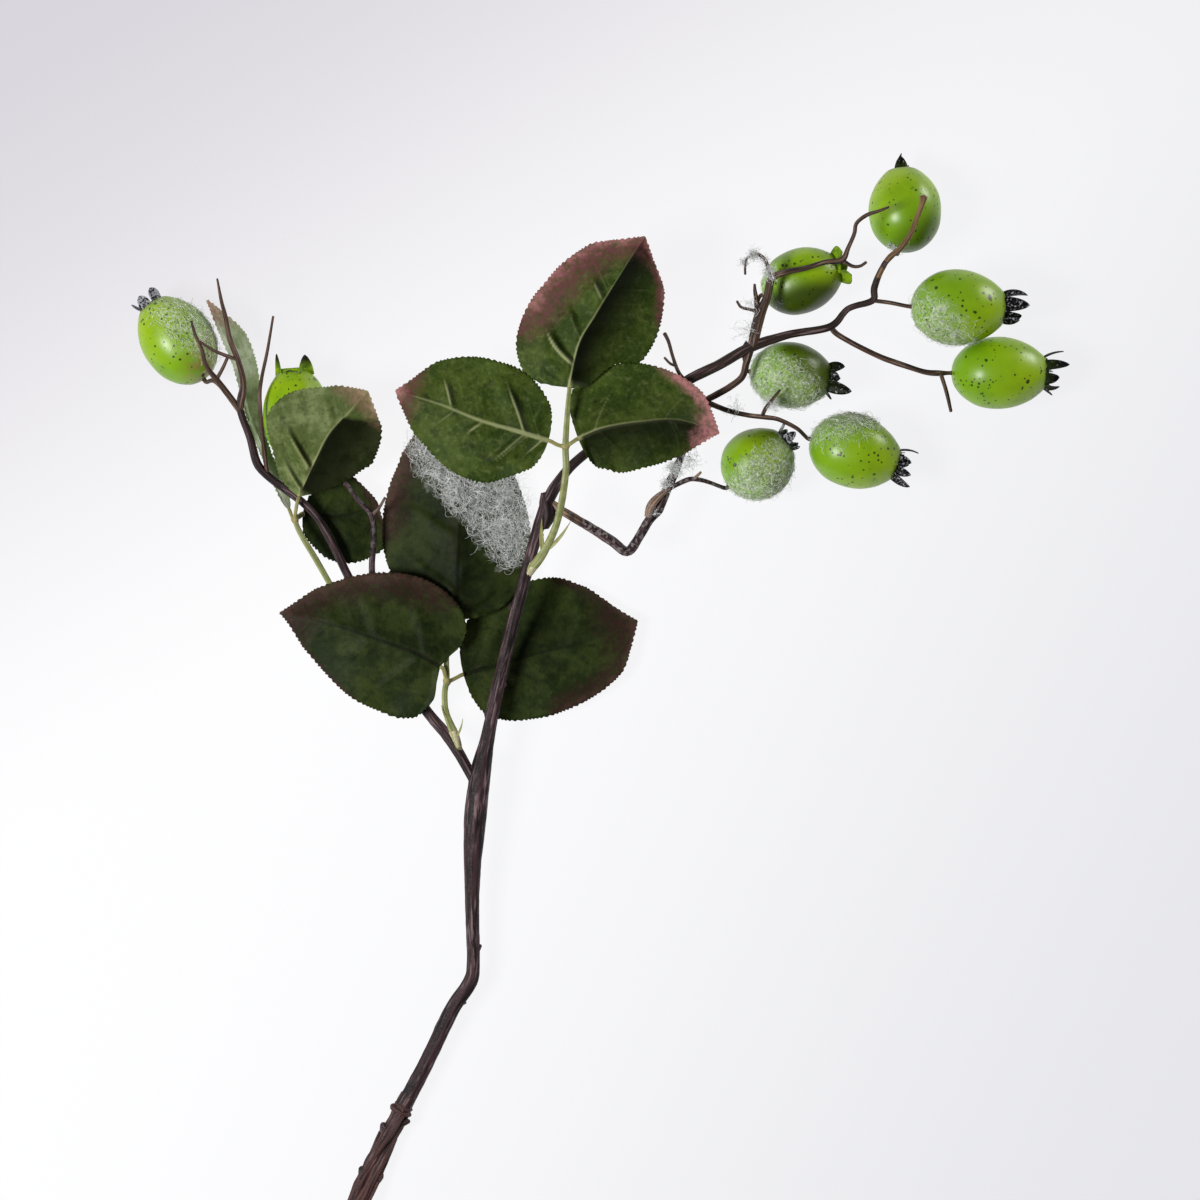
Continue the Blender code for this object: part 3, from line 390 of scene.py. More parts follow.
# Where a hip is stained brown, beside a twig that leans on it: the same three numbers.
RUST = {"1": (331, 0.50, 0.7)}
# Where a hip is in its own shade or a neighbour's, olive and dark: the same three numbers.
GLOOM = {"4": (282, 0.10, 0.9), "3": (300, 0.35, 0.6), "7": (40, 0.10, 0.75), "9": (80, 0.40, 0.5)}
HAZE_FIBRES = {"1": 620, "5": 820, "7": 1500, "8": 950, "9": 1900, "4": 150, "3": 120}
# Tufts of fibre on the twigs: middle, reach and number of fibres.
TUFTS = [
    ((36.9, 109.3, 22.8), 1.9, 200), ((34.6, 107.4, 22.2), 1.3, 110), ((39.6, 108.0, 22.6), 1.5, 90),
    ((41, 104.8, 22.4), 2.2, 170), ((35.5, 90.5, 18.5), 3.8, 40), ((36.5, 97, 20.2), 3.0, 34),
    ((17.6, 56.5, 13.0), 2.4, 190), ((15.8, 52.6, 13.8), 2.0, 120), ((21.5, 58.5, 12.6), 3.0, 80),
    ((12.8, 45.6, 14.0), 1.2, 50), ((41.8, 72.5, 17.6), 2.4, 110), ((33.0, 72.2, 15.0), 2.8, 34),
    ((72.4, 112.8, 12.6), 1.5, 110),
]
# The web over the end leaflet of the lower leaf: its outline seen from above.
WEB_OUTLINE = [
    (-52.5, 66), (-45, 75), (-30, 72), (-17, 62), (-16.5, 44), (-18.5, 34), (-23, 31), (-27, 33), (-31, 37),
    (-34, 41), (-39.5, 47), (-44.5, 53), (-51, 62),
]
WEB_BOX = ((-50, 24), (-10, 74))   # the fibres are drawn in this box: its low and its high corner
WEB_FIBRES = 3200
WEB_STEPS = 12
WEB_STEP = 0.34
WEB_TURNING = 0.13       # how much they curl, in radians
ABOVE_ALL = 0.06         # a height above the whole sprig, in metres
FIBRE_RADIUS = 0.040
HIP_FIBRE_RADIUS = 0.036
HIP_FIBRE_STEPS = 4
TUFT_STEPS = 13
GLINTS = 300
HIP_GLINTS = {"1": 220, "7": 70, "8": 60, "9": 60, "5": 60}

# Seeds of the random draws; each hip adds its own number.
SEEDS = {"leaf_web": 7, "hip_webs": 30, "tufts": 60, "glints": 80, "stamens": 100}

# Screen colours of the two barks: dark (also painted crease shade), middle, light (also painted ridge
# highlight), peeled, and further along.
BARK_COLOURS = {
    "stem_bark": ((20, 12, 12), (60, 40, 43), (130, 106, 110), (104, 68, 60), (46, 34, 25)),
    "twig_bark_wear_and_highlight": ((34, 24, 20), (84, 62, 50), (158, 132, 114), (120, 84, 62), (68, 52, 40)),
}
# Screen colours of the leaves: deep, fresh and dark green (the dark one also painted shade), veins, blush,
# dark blush, underside.
LEAF_COLOURS = {
    "upper": [
        (42, 60, 10), (68, 84, 26), (14, 20, 3), (172, 176, 126), (182, 122, 122), (96, 58, 56),
        (104, 116, 78)],
    "lower": [
        (26, 39, 8), (50, 61, 22), (8, 11, 2), (74, 86, 46), (80, 56, 50), (46, 28, 23), (84, 94, 66)],
    "side": [
        (74, 88, 40), (114, 126, 78), (15, 21, 3), (160, 164, 112), (160, 134, 108), (122, 98, 76),
        (96, 106, 70)],
    "edge": [
        (156, 170, 126), (206, 216, 186), (92, 106, 54), (212, 218, 198), (176, 132, 116), (140, 104, 86),
        (140, 150, 116)],
}

CAMERA_PLACE = (-1.0, 23.75, 848.3)
CAMERA_LENS = 100
CAMERA_SENSOR = 36
# The lights: place and size in metres, power in watts. They aim at the lit place.
LIGHTS = {"key_left": ((-0.72, -0.14, 0.94), 0.42, 15.0), "rim_right": ((0.95, 0.75, 0.16), 0.40, 7.0)}
LIT_PLACE = (0, 0.03, 0.01)
FLOOR_HALF = 3.0              # half the floor's side, in metres
FLOOR_COLOUR = (0.05, 0.05, 0.052, 1)
FLOOR_GLOW = 0.96
AIR_COLOUR = (0.93, 0.93, 0.97, 1)
AIR_GLOW = 0.14


# ---- numbers ----

def srgb(red, green, blue):
    """A screen colour, 0 to 255, as the linear colour that a shader takes."""
    values = np.array((red, green, blue)) / 255
    linear = np.where(values <= 0.04045, values / 12.92, ((values + 0.055) / 1.055) ** 2.4)
    return (*linear, 1.0)


def unit(vectors):
    return vectors / np.maximum(np.linalg.norm(vectors, axis=-1, keepdims=True), 1e-9)


def around(turns, side, up):
    """Directions turned this far, in radians, from the side direction towards the up direction."""
    turns = np.asarray(turns)[..., None]
    return np.cos(turns) * side + np.sin(turns) * up


def smooth_step(value, low, high):
    part = np.clip((value - low) / (high - low), 0, 1)
    return part * part * (3 - 2 * part)


def lattice(cells, seed):
    """A fixed number from 0 to 1 for each row of whole numbers."""
    mixed = np.sin(cells @ np.array((127.1, 311.7, 74.7)) + seed * 53.3) * 43758.5453
    return mixed - np.floor(mixed)


def value_noise(points, seed=0):
    """Smooth noise from -1 to 1 at each point, with cells one unit wide."""
    shape = points.shape[:-1]
    points = points.reshape(-1, 3)
    base = np.floor(points)
    part = points - base
    part = part * part * (3 - 2 * part)
    total = np.zeros(len(points))
    for corner in np.ndindex(2, 2, 2):
        weight = np.prod(np.where(corner, part, 1 - part), axis=1)
        total += weight * lattice(base + corner, seed)
    return (2 * total - 1).reshape(shape)


def spline(rows, steps):
    """A smooth (Catmull-Rom) run through all the rows, with this many steps between two of them."""
    rows = np.array(rows, float)
    ends = np.vstack([2 * rows[0] - rows[1], rows, 2 * rows[-1] - rows[-2]])
    smooth = []
    for before, start, end, after in zip(ends, ends[1:], ends[2:], ends[3:]):
        for t in np.arange(steps) / steps:
            smooth.append(
                start
                + 0.5 * t * (end - before)
                + t * t * (before - 2.5 * start + 2 * end - 0.5 * after)
                + t * t * t * (1.5 * start - 0.5 * before - 1.5 * end + 0.5 * after)
            )
    smooth.append(rows[-1])
    return np.array(smooth)


def totals(values):
    """0, then the running totals of the values."""
    return np.concatenate([[0], np.cumsum(values)])


def run_lengths(line):
    """How far along a line each of its points lies."""
    return totals(np.linalg.norm(np.diff(line, axis=0), axis=1))


def at(line, where, places):
    """The line's rows at these places, given where each of its own rows lies."""
    return np.stack([np.interp(places, where, column) for column in line.T], axis=1)


def evenly(rows, step):
    """The same line with its rows this far apart."""
    where = run_lengths(rows[:, :3])
    return at(rows, where, np.linspace(0, where[-1], max(3, int(where[-1] / step) + 1)))


def carried_frames(line):
    """For each point of a line: its direction and two directions across it, turned as little as possible."""
    forward = unit(np.gradient(line, axis=0))
    across = np.cross(forward[0], (0.0, 0.0, 1.0))
    if np.linalg.norm(across) < 0.1:
        across = np.cross(forward[0], (1.0, 0.0, 0.0))
    sides = []
    for direction in forward:
        across = unit(across - (across @ direction) * direction)
        sides.append(across)
    sides = np.array(sides)
    return forward, sides, np.cross(forward, sides)


# ---- meshes ----

def faces_outward(points, faces):
    """A closed shell's faces, all turned over if they would face inward."""
    volume = 0.0
    for face in faces:
        first = points[face[:, 0]]
        for corner in range(1, face.shape[1] - 1):
            volume += (first * np.cross(points[face[:, corner]], points[face[:, corner + 1]])).sum()
    return [face[:, ::-1] for face in faces] if volume < 0 else faces


def placed(name, data):
    """A new object with this data, in the scene."""
    obj = bpy.data.objects.new(name, data)
    bpy.context.scene.collection.objects.link(obj)
    return obj


class Shape:
    """One piece's points, faces and marks (a number for each point), gathered shell by shell."""

    def __init__(self):
        self.points, self.faces, self.marks, self.count = [], [], {}, 0

    def add(self, points, faces, **marks):
        points = np.array(points, float).reshape(-1, 3)
        points[:, 2] = np.maximum(points[:, 2], CLEAR)
        for face in faces_outward(points, [np.asarray(face, int) for face in faces]):
            self.faces += (face + self.count).tolist()
        for name, values in marks.items():
            filled = np.broadcast_to(np.asarray(values, float), (len(points),)).astype(float)
            self.marks.setdefault(name, []).append((self.count, filled))
        self.points.append(points)
        self.count += len(points)

    def piece(self, name, material, nodes=()):
        """The gathered shells as one smooth mesh that rides on the sprig's body."""
        mesh = bpy.data.meshes.new(name)
        mesh.from_pydata((np.vstack(self.points) * MM).tolist(), [], self.faces)
        mesh.shade_smooth()
        mesh.materials.append(material)
        for mark, runs in self.marks.items():
            values = np.zeros(self.count, np.float32)
            for start, run in runs:
                values[start:start + len(run)] = run
            mesh.attributes.new(mark, "FLOAT", "POINT").data.foreach_set("value", values)
        mesh.update()
        obj = placed(name, mesh)
        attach(obj, "root")
        if nodes:
            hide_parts(*nodes)
        return obj


def grid(rows, columns, closed=False):
    """Quads between neighbouring rows of points. Closed joins each row's last point to its first."""
    i, j = np.meshgrid(np.arange(rows - 1), np.arange(columns - (not closed)), indexing="ij")
    after = (j + 1) % columns
    here, beyond = i * columns, (i + 1) * columns
    quads = np.stack([here + j, here + after, beyond + after, beyond + j], -1)
    return quads.reshape(-1, 4)


def add_tube(shape, rings, start_tip, end_tip, **marks):
    """A closed tube through rings of points, shut by a fan of triangles to a tip at each end."""
    count, sides, _ = rings.shape
    points = np.vstack([rings.reshape(-1, 3), [start_tip, end_tip]])
    j = np.arange(sides)
    after = (j + 1) % sides
    first = np.stack([after, j, np.full(sides, count * sides)], 1)
    last_row = (count - 1) * sides
    last = np.stack([last_row + j, last_row + after, np.full(sides, count * sides + 1)], 1)
    ended = {}
    for name, values in marks.items():
        values = np.broadcast_to(values, (count, sides))
        ended[name] = np.concatenate([values.ravel(), [values[0].mean(), values[-1].mean()]])
    shape.add(points, [grid(count, sides, closed=True), first, last], **ended)


def add_sheet(shape, top, bottom, **marks):
    """A thin closed sheet between two grids of points, its rim shut. Marks are given for the top grid."""
    rows, columns, _ = top.shape
    faces = grid(rows, columns)
    size = rows * columns
    index = np.arange(size).reshape(rows, columns)
    rim = np.concatenate([index[:-1, 0], index[-1, :-1], index[:0:-1, -1], index[0, :0:-1]])
    after = np.roll(rim, -1)
    wall = np.stack([rim, rim + size, after + size, after], 1)
    both = {}
    for name, values in marks.items():
        both[name] = np.tile(np.broadcast_to(values, (rows, columns)).ravel(), 2)
    under = np.repeat([0.0, 1.0], size)
    points = np.vstack([top.reshape(-1, 3), bottom.reshape(-1, 3)])
    shape.add(points, [faces[:, ::-1], faces + size, wall], under=under, **both)


def sweep(shape, route, sides, step, ridge=0.0, seed=0, groove=0.0, blunt=0.5, **marks):
    """A twig along a route. Its bark is ridged lengthwise, and a groove may run along its upper side."""
    rows = evenly(spline(route, 12), step)
    line, radius = rows[:, :3], rows[:, 3]
    forward, side, up = carried_frames(line)
    turns = np.arange(sides) * math.tau / sides
    out = around(turns, side[:, None], up[:, None])
    along = np.broadcast_to(run_lengths(line)[:, None], out.shape[:2])
    turn_x, turn_y = np.cos(turns) + 0 * along, np.sin(turns) + 0 * along
    place = np.stack([turn_x, turn_y, along], -1)
    relief = 0.6 * value_noise(place * (1.9, 1.9, 0.16), seed)
    relief += 0.4 * value_noise(place * (4.5, 4.5, 0.55), seed + 5)
    upward = np.clip(out[:, :, 2], 0, 1) ** 8
    rings = line[:, None] + out * (radius[:, None] * (1 + ridge * relief - groove * upward))[:, :, None]
    start_tip = line[0] - forward[0] * 0.08 * radius[0]
    end_tip = line[-1] + forward[-1] * blunt * radius[-1]
    add_tube(shape, rings, start_tip, end_tip, relief=relief, groove=upward * bool(groove), along=along,
             turn_x=turn_x, turn_y=turn_y, **marks)


def add_fibres(shape, lines, radius):
    """Many fine fibres at once: lines is an array of fibres, each with the same number of points."""
    count, length, _ = lines.shape
    lines = np.concatenate([lines[:, :, :2], np.maximum(lines[:, :, 2:], CLEAR + radius)], axis=2)
    forward = unit(np.gradient(lines, axis=1))
    across = unit(np.cross(forward, (0.31, 0.17, 0.93)))
    up = np.cross(forward, across)
    taper = np.sin(np.linspace(0.12, math.pi - 0.12, length)) ** 0.4 * radius
    turns = np.arange(3) * math.tau / 3
    points = np.stack([lines + taper[:, None] * around(turn, across, up) for turn in turns], axis=2)
    faces = grid(length, 3, closed=True)
    starts = np.arange(count)[:, None, None] * length * 3
    caps = np.array([[2, 1, 0], [length * 3 - 3, length * 3 - 2, length * 3 - 1]])
    shape.add(points, [(faces[None] + starts).reshape(-1, 4), (caps[None] + starts).reshape(-1, 3)])


# ---- materials ----

class Paint:
    """A procedural material, built node by node round one Principled shader. Sizes are in millimetres.

    Its body colour is laid on coat by coat. Colours are screen colours: red, green and blue, 0 to 255.
    """

    def __init__(self, name, roughness=0.5, specular=0.5):
        self.material = bpy.data.materials.new(name)
        self.material.use_nodes = True
        self.nodes = self.material.node_tree.nodes
        self.links = self.material.node_tree.links
        self.shader = self.nodes["Principled BSDF"]
        self.put("Roughness", roughness)
        self.put("Specular IOR Level", specular)
        self.place = self.nodes.new("ShaderNodeTexCoord").outputs["Object"]
        self.body = None

    def put(self, socket, value):
        """Link or set a node's input. A plain name means that input of the shader."""
        if isinstance(socket, str):
            socket = self.shader.inputs[socket]
        if isinstance(value, bpy.types.NodeSocket):
            self.links.new(value, socket)
        elif isinstance(value, tuple):
            socket.default_value = srgb(*value)
        else:
            socket.default_value = value

    def mark(self, name):
        node = self.nodes.new("ShaderNodeAttribute")
        node.attribute_name = name
        return node.outputs["Fac"]

    def noise_at(self, vector, scale, detail):
        node = self.nodes.new("ShaderNodeTexNoise")
        self.put(node.inputs["Vector"], vector)
        self.put(node.inputs["Scale"], scale)
        self.put(node.inputs["Detail"], detail)
        return node.outputs["Fac"]

    def noise(self, size, detail):
        return self.noise_at(self.place, 1 / (size * MM), detail)

    def streaks(self, across, lengthwise, detail=3):
        """Noise drawn out along a twig. Its rates are per radius round it and per millimetre along it."""
        join = self.nodes.new("ShaderNodeCombineXYZ")
        rates = {"turn_x": across, "turn_y": across, "along": lengthwise}
        for socket, (name, rate) in zip(join.inputs, rates.items()):
            self.put(socket, self.times(self.mark(name), rate))
        return self.noise_at(join.outputs[0], 1, detail)

    def cells(self, size, feature="F1", shift=0.0):
        """Distance to the nearest of many scattered points, or to the edges between their cells."""
        node = self.nodes.new("ShaderNodeTexVoronoi")
        node.feature = feature
        moved = self.nodes.new("ShaderNodeVectorMath")
        self.put(moved.inputs[0], self.place)
        moved.inputs[1].default_value = (shift, shift, shift)
        self.put(node.inputs["Vector"], moved.outputs[0])
        self.put(node.inputs["Scale"], 1 / (size * MM))
        return node.outputs["Distance"]

    def ramp(self, value, low, high, start=0.0, end=1.0):
        """A smooth step from start to end while the value goes from low to high."""
        node = self.nodes.new("ShaderNodeMapRange")
        node.interpolation_type = "SMOOTHSTEP"
        names = ("Value", "From Min", "From Max", "To Min", "To Max")
        for name, setting in zip(names, (value, low, high, start, end)):
            self.put(node.inputs[name], setting)
        return node.outputs["Result"]

    def clouds(self, size, detail, low, high, start=0.0, end=1.0):
        """Noise of this size sorted into patches: start where it is low, end where it is high."""
        return self.ramp(self.noise(size, detail), low, high, start, end)

    def math(self, operation, first, second):
        node = self.nodes.new("ShaderNodeMath")
        node.operation = operation
        self.put(node.inputs[0], first)
        self.put(node.inputs[1], second)
        return node.outputs[0]

    def times(self, first, second):
        return self.math("MULTIPLY", first, second)

    def plus(self, first, second):
        return self.math("ADD", first, second)

    def mix(self, amount, first, second):
        node = self.nodes.new("ShaderNodeMix")
        node.data_type = "RGBA"
        for index, value in zip((0, 6, 7), (amount, first, second)):
            self.put(node.inputs[index], value)
        return node.outputs[2]

    def lay(self, amount, colour):
        """One more coat on the body colour, this much of it at each point."""
        self.body = self.mix(amount, self.body, colour)

    def finish(self, height=None, distance=0.0, strength=1.0):
        """The material, its body colour on the shader, and a bump of this height where one is given."""
        self.put("Base Color", self.body)
        if height is not None:
            node = self.nodes.new("ShaderNodeBump")
            self.put(node.inputs["Distance"], distance * MM)
            self.put(node.inputs["Strength"], strength)
            self.put(node.inputs["Height"], height)
            self.put("Normal", node.outputs["Normal"])
        return self.material


def bark_material(name, dark, middle, light, peeled, late):
    """Bark streaked lengthwise, painted shade in its creases, pale ridges from wear and a painted highlight.

    Marks on the mesh say where it has gone tan with wear, peeled down to redder wood, or flaky with bare wood
    and grey.
    """
    paint = Paint(name, roughness=0.6, specular=0.25)
    fine = paint.streaks(3.6, 0.16, 4)
    grain = paint.noise(0.5, 4)
    along = paint.mark("along")
    flaky = paint.mark("flaky")
    paint.body = paint.mix(paint.ramp(paint.streaks(1.3, 0.05), 0.42, 0.60), dark, middle)
    paint.lay(paint.ramp(along, *LATE_BARK, 0.0, 0.7), late)
    # Pale ridges: partly wear, partly a painted highlight.
    ridges = paint.times(paint.ramp(paint.mark("relief"), -0.35, 0.35), paint.ramp(fine, 0.50, 0.66))
    paint.lay(paint.times(ridges, 0.85), light)
    # Painted shade in the creases, where the fine streaks are low.
    paint.lay(paint.times(paint.ramp(fine, 0.47, 0.33), 0.9), dark)
    tan = paint.mix(paint.ramp(fine, 0.38, 0.62), (86, 62, 36), (156, 122, 82))
    paint.lay(paint.times(paint.mark("tan"), 0.75), tan)
    torn = paint.mix(paint.ramp(paint.streaks(2.4, 0.10, 4), 0.42, 0.58), dark, peeled)
    paint.lay(paint.times(paint.mark("peeled"), 0.9), torn)
    bare = paint.mix(paint.ramp(fine, 0.4, 0.6), (104, 78, 60), (164, 136, 114))
    paint.lay(paint.times(flaky, paint.ramp(along, *BARE_WOOD, 0.85, 0.0)), bare)
    flakes = paint.times(flaky, paint.clouds(1.1, 4, 0.50, 0.60))
    paint.lay(paint.times(flakes, 0.75), (132, 124, 122))
    paint.put("Roughness", paint.ramp(grain, 0.2, 0.8, 0.5, 0.75))
    return paint.finish(paint.plus(paint.times(fine, 1.5), grain), 0.12, 0.7)


def stalk_material():
    """Leaf stalks: pale green in paler streaks, a darker groove on top, tan joints and a creamy foot."""
    paint = Paint("stalk_skin", roughness=0.5, specular=0.4)
    paint.body = paint.mix(paint.clouds(1.6, 3, 0.3, 0.7), (124, 130, 70), (156, 160, 104))
    paint.lay(paint.ramp(paint.streaks(3.0, 0.12, 4), 0.52, 0.66, 0.0, 0.7), (182, 184, 142))
    paint.lay(paint.times(paint.mark("groove"), 0.8), (88, 94, 42))
    paint.lay(paint.times(paint.mark("joint"), 0.45), (146, 118, 60))
    paint.lay(paint.times(paint.mark("cream"), paint.clouds(0.7, 3, 0.36, 0.56)), (200, 188, 158))
    return paint.finish(paint.noise(0.3, 3), 0.05, 0.5)


def leaf_material(name, deep, fresh, dark, vein, blush, blush_dark, under):
    """A leaflet's skin: cloudy green, painted shade in its creases, pale veins, a blush that pales outward,
    its underside.
    """
    paint = Paint(name, roughness=0.6, specular=0.11)
    broad = paint.plus(paint.noise(11.0, 3), paint.times(paint.noise(2.6, 4), 0.7))
    paint.body = paint.mix(paint.ramp(broad, 0.66, 1.04), deep, fresh)
    paint.lay(paint.clouds(3.4, 3, 0.56, 0.74, 0.0, 0.55), dark)
    paint.lay(paint.clouds(0.9, 4, 0.30, 0.48, 0.35, 0.0), dark)
    paint.lay(paint.clouds(1.3, 5, 0.50, 0.80, 0.0, 0.12), vein)
    net = paint.ramp(paint.cells(1.5, "DISTANCE_TO_EDGE"), 0.0, 0.08, 1.0, 0.0)
    paint.lay(paint.times(net, 0.035), vein)
    on_vein = paint.mark("vein")
    paint.lay(paint.times(paint.ramp(on_vein, 0.15, 0.95), 0.7), vein)
    # Painted shade in the groove of a sunken midrib, where the vein mark is negative.
    paint.lay(paint.times(paint.ramp(on_vein, -0.2, -0.9), 0.7), dark)
    # Painted shade in the creases and on the folds' steep flanks, in the dark green.
    paint.lay(paint.mark("shade"), dark)
    ragged = paint.plus(paint.mark("blush"), paint.times(paint.noise(3.0, 3), 0.45))
    ragged = paint.plus(ragged, paint.times(paint.noise(0.7, 3), 0.25))
    flush = paint.mix(paint.ramp(paint.plus(ragged, paint.mark("pale")), 0.90, 1.40), blush_dark, blush)
    speckled = paint.clouds(1.2, 4, 0.34, 0.60, 0.50, 1.0)
    paint.lay(paint.times(paint.ramp(ragged, 0.60, 1.10, 0.0, 0.95), speckled), flush)
    paint.lay(paint.times(paint.mark("web"), paint.clouds(1.0, 4, 0.34, 0.70, 0.03, 0.40)), (150, 153, 146))
    paint.lay(paint.times(paint.mark("under"), 0.8), under)
    return paint.finish(paint.plus(paint.noise(0.45, 4), paint.times(net, -0.6)), 0.10, 0.45)


def hip_material():
    """Hip skin: waxy green, yellower towards the calyx, scattered dark specks, and a pale haze."""
    paint = Paint("hip_wax", roughness=0.34, specular=0.42)
    along = paint.mark("along")
    paint.body = paint.mix(paint.ramp(along, 0.05, 0.95), (116, 160, 14), (144, 176, 8))
    paint.lay(paint.clouds(7.0, 3, 0.4, 0.72, 0.0, 0.5), (96, 140, 10))
    paint.lay(paint.ramp(along, 0.94, 1.0, 0.0, 0.55), (84, 96, 22))
    paint.lay(paint.ramp(along, 0.992, 1.0, 0.0, 0.8), (52, 46, 22))
    # Painted shade where the hip lies in its own shade or a neighbour's.
    paint.lay(paint.mark("gloom"), (44, 56, 4))
    paint.lay(paint.times(paint.mark("rust"), paint.clouds(1.6, 3, 0.3, 0.6)), (150, 112, 76))
    reach = paint.clouds(4.0, 2, 0.36, 0.66, 0.07, 0.27)
    small = paint.math("LESS_THAN", paint.cells(1.3), reach)
    large = paint.math("LESS_THAN", paint.cells(3.4, shift=0.31), paint.times(reach, 0.72))
    paint.lay(paint.times(paint.math("MAXIMUM", small, large), 0.90), (28, 30, 6))
    haze = paint.times(paint.mark("haze"), paint.clouds(0.6, 4, 0.36, 0.66))
    haze = paint.times(haze, paint.clouds(2.6, 3, 0.36, 0.60, 0.35, 1.0))
    paint.lay(paint.times(haze, 0.85), (196, 206, 184))
    paint.put("Roughness", paint.ramp(haze, 0.0, 0.7, 0.34, 0.75))
    return paint.finish(paint.noise(1.2, 3), 0.05, 0.4)


def sepal_material():
    """Dried sepals: near black and dark brown, some of them still olive, with pale frost and painted glints.
    """
    paint = Paint("sepal_dry", roughness=0.5, specular=0.12)
    paint.body = paint.mix(paint.clouds(0.9, 4, 0.50, 0.80), (5, 4, 4), (34, 26, 20))
    paint.lay(paint.mark("olive"), paint.mix(paint.clouds(1.5, 3, 0.35, 0.65), (92, 124, 14), (136, 172, 24)))
    # Pale patches: sparse painted glints everywhere, and frost that spreads where the crown's pale mark is
    # high.
    glints_and_frost = paint.plus(paint.noise(0.6, 5), paint.times(paint.mark("pale"), 0.20))
    paint.lay(paint.ramp(glints_and_frost, 0.62, 0.76, 0.0, 0.80), (176, 178, 184))
    return paint.finish(paint.noise(0.5, 4), 0.06, 0.6)


def plain_paint(name, first, second, size, roughness, specular=0.5):
    """A two-tone material for the smallest pieces."""
    paint = Paint(name, roughness, specular)
    paint.body = paint.mix(paint.clouds(size, 3, 0.35, 0.65), first, second)
    return paint.finish()


# ---- stem, twigs and stalks ----

class Hip:
    """Where a hip sits, from its CAD skin and calyx: middle, axis towards the calyx, length, radius."""

    def __init__(self, frame, number):
        skin = node_points(frame, f"hip_{number}")
        crown = node_points(frame, f"calyx_{number}")
        self.number = number
        self.axis = unit(crown.mean(axis=0) - skin.mean(axis=0))
        reach = (skin - skin.mean(axis=0)) @ self.axis
        self.length = reach.max() - reach.min()
        self.middle = skin.mean(axis=0) + self.axis * (reach.max() + reach.min()) / 2
        from_axis = skin - self.middle - ((skin - self.middle) @ self.axis)[:, None] * self.axis
        self.radius = np.linalg.norm(from_axis, axis=1).max()
        self.side = unit(np.cross(self.axis, (0.0, 0.0, 1.0)))
        self.up = np.cross(self.side, self.axis)

    def stalk_end(self, short=0.0):
        return self.middle - self.axis * (self.length / 2 + short)

    def calyx_end(self):
        return self.middle + self.axis * self.length / 2

    def outward(self, turns):
        """Directions away from its axis: 0 is beside the hip, a quarter turn is on top."""
        return around(turns, self.side, self.up)


def node_points(frame, name):
    mesh = frame["nodes"][name].data
    points = np.empty(len(mesh.vertices) * 3, np.float32)
    mesh.vertices.foreach_get("co", points)
    return points.reshape(-1, 3).astype(float) / MM


def to_hip(route, hip, radius=0.5):
    """The route, led on to the hip's stalk end."""
    return list(route) + [(*hip.stalk_end(1.0), radius), (*hip.stalk_end(-0.3), radius * 1.3)]


def twig_piece(node, material, routes, sides=18, step=0.7, ridge=0.10, seed=1, flaky=0.0):
    """A twig and its offshoots as one piece standing for its CAD node."""
    shape = Shape()
    for number, route in enumerate(routes):
        sweep(shape, route, sides, step, ridge, seed + 10 * number, flaky=flaky)
    shape.piece(f"{node}_bark", material, [node])


def main_stem(material):
    """Whole bark from the collar up, with the stalk to hip 3; strands below it; the spur's node; nubs."""
    shape = Shape()
    smooth = spline(MAIN_STEM, 12)
    whole = [tuple(row) for row in smooth[::4] if row[1] > STRANDS_END - 2]
    fork = next(i for i, row in enumerate(whole) if row[1] > BARE_TIP_Y and row[2] > BARE_TIP_Z)
    sweep(shape, whole[:fork] + HIP_3_STALK, 32, 0.6, 0.10, 3)
    sweep(shape, whole[fork - 4:], 18, 0.6, 0.10, 4, tan=1.0)
    strands(shape, np.array([row for row in smooth[::2] if row[1] < STRANDS_END + 4]))
    sweep(shape, SPUR_NODE, 20, 0.3, 0.16, 33)
    collar(shape)
    nubs(shape)
    shape.piece("main_stem_bark", material, ["main_stem"])


def strands(shape, foot):
    """Three lumpy strands twisted about the middle line of the stem's foot, and loose strips of bark."""
    _, side, up = carried_frames(foot[:, :3])
    along = run_lengths(foot[:, :3])
    for number, (turn, size, peeled) in enumerate(STRANDS):
        offset = around(turn + along * TWIST, side, up) * foot[:, 3:] * STRAND_OUT
        lumps = 1 + 0.16 * value_noise(np.column_stack([along * 0.35, 0 * along, 0 * along + number]), 9)
        strand = np.column_stack([foot[:, :3] + offset, foot[:, 3] * size * lumps])
        sweep(shape, strand, 22, 0.5, 0.20, 20 + number, peeled=peeled)
    for number, (first, turn, count) in enumerate(STRIPS):
        part = slice(first, first + count)
        out = around(turn + along[part] * TWIST, side[part], up[part])
        strip = np.column_stack([foot[part, :3] + out * foot[part, 3:], np.full(len(out), STRIP_RADIUS)])
        sweep(shape, strip, 8, 0.5, 0.35, 40 + number, peeled=0.4 + 0.2 * number)


def collar(shape):
    """The torn rim where the whole bark ends: two lumpy rings round the stem."""
    line = spline(MAIN_STEM, 24)
    middle = int(np.argmin(np.abs(line[:, 1] - STRANDS_END)))
    forward, side, up = carried_frames(line[middle - 6:middle + 7, :3])
    turns = np.linspace(0, math.tau, 49)
    for offset, size in COLLAR_RINGS:
        lump = value_noise(np.stack([np.cos(turns) * 2, np.sin(turns) * 2, turns * 0 + offset], 1), 8)
        lump[-1] = lump[0]
        centre = line[middle, :3] + forward[6] * offset
        radius = line[middle, 3] * (1.02 + 0.14 * lump)
        ring = centre + around(turns, side[6], up[6]) * radius[:, None]
        sweep(shape, np.column_stack([ring, size * (1 + 0.4 * lump)]), 10, 0.35, 0.2, 50, peeled=0.6)


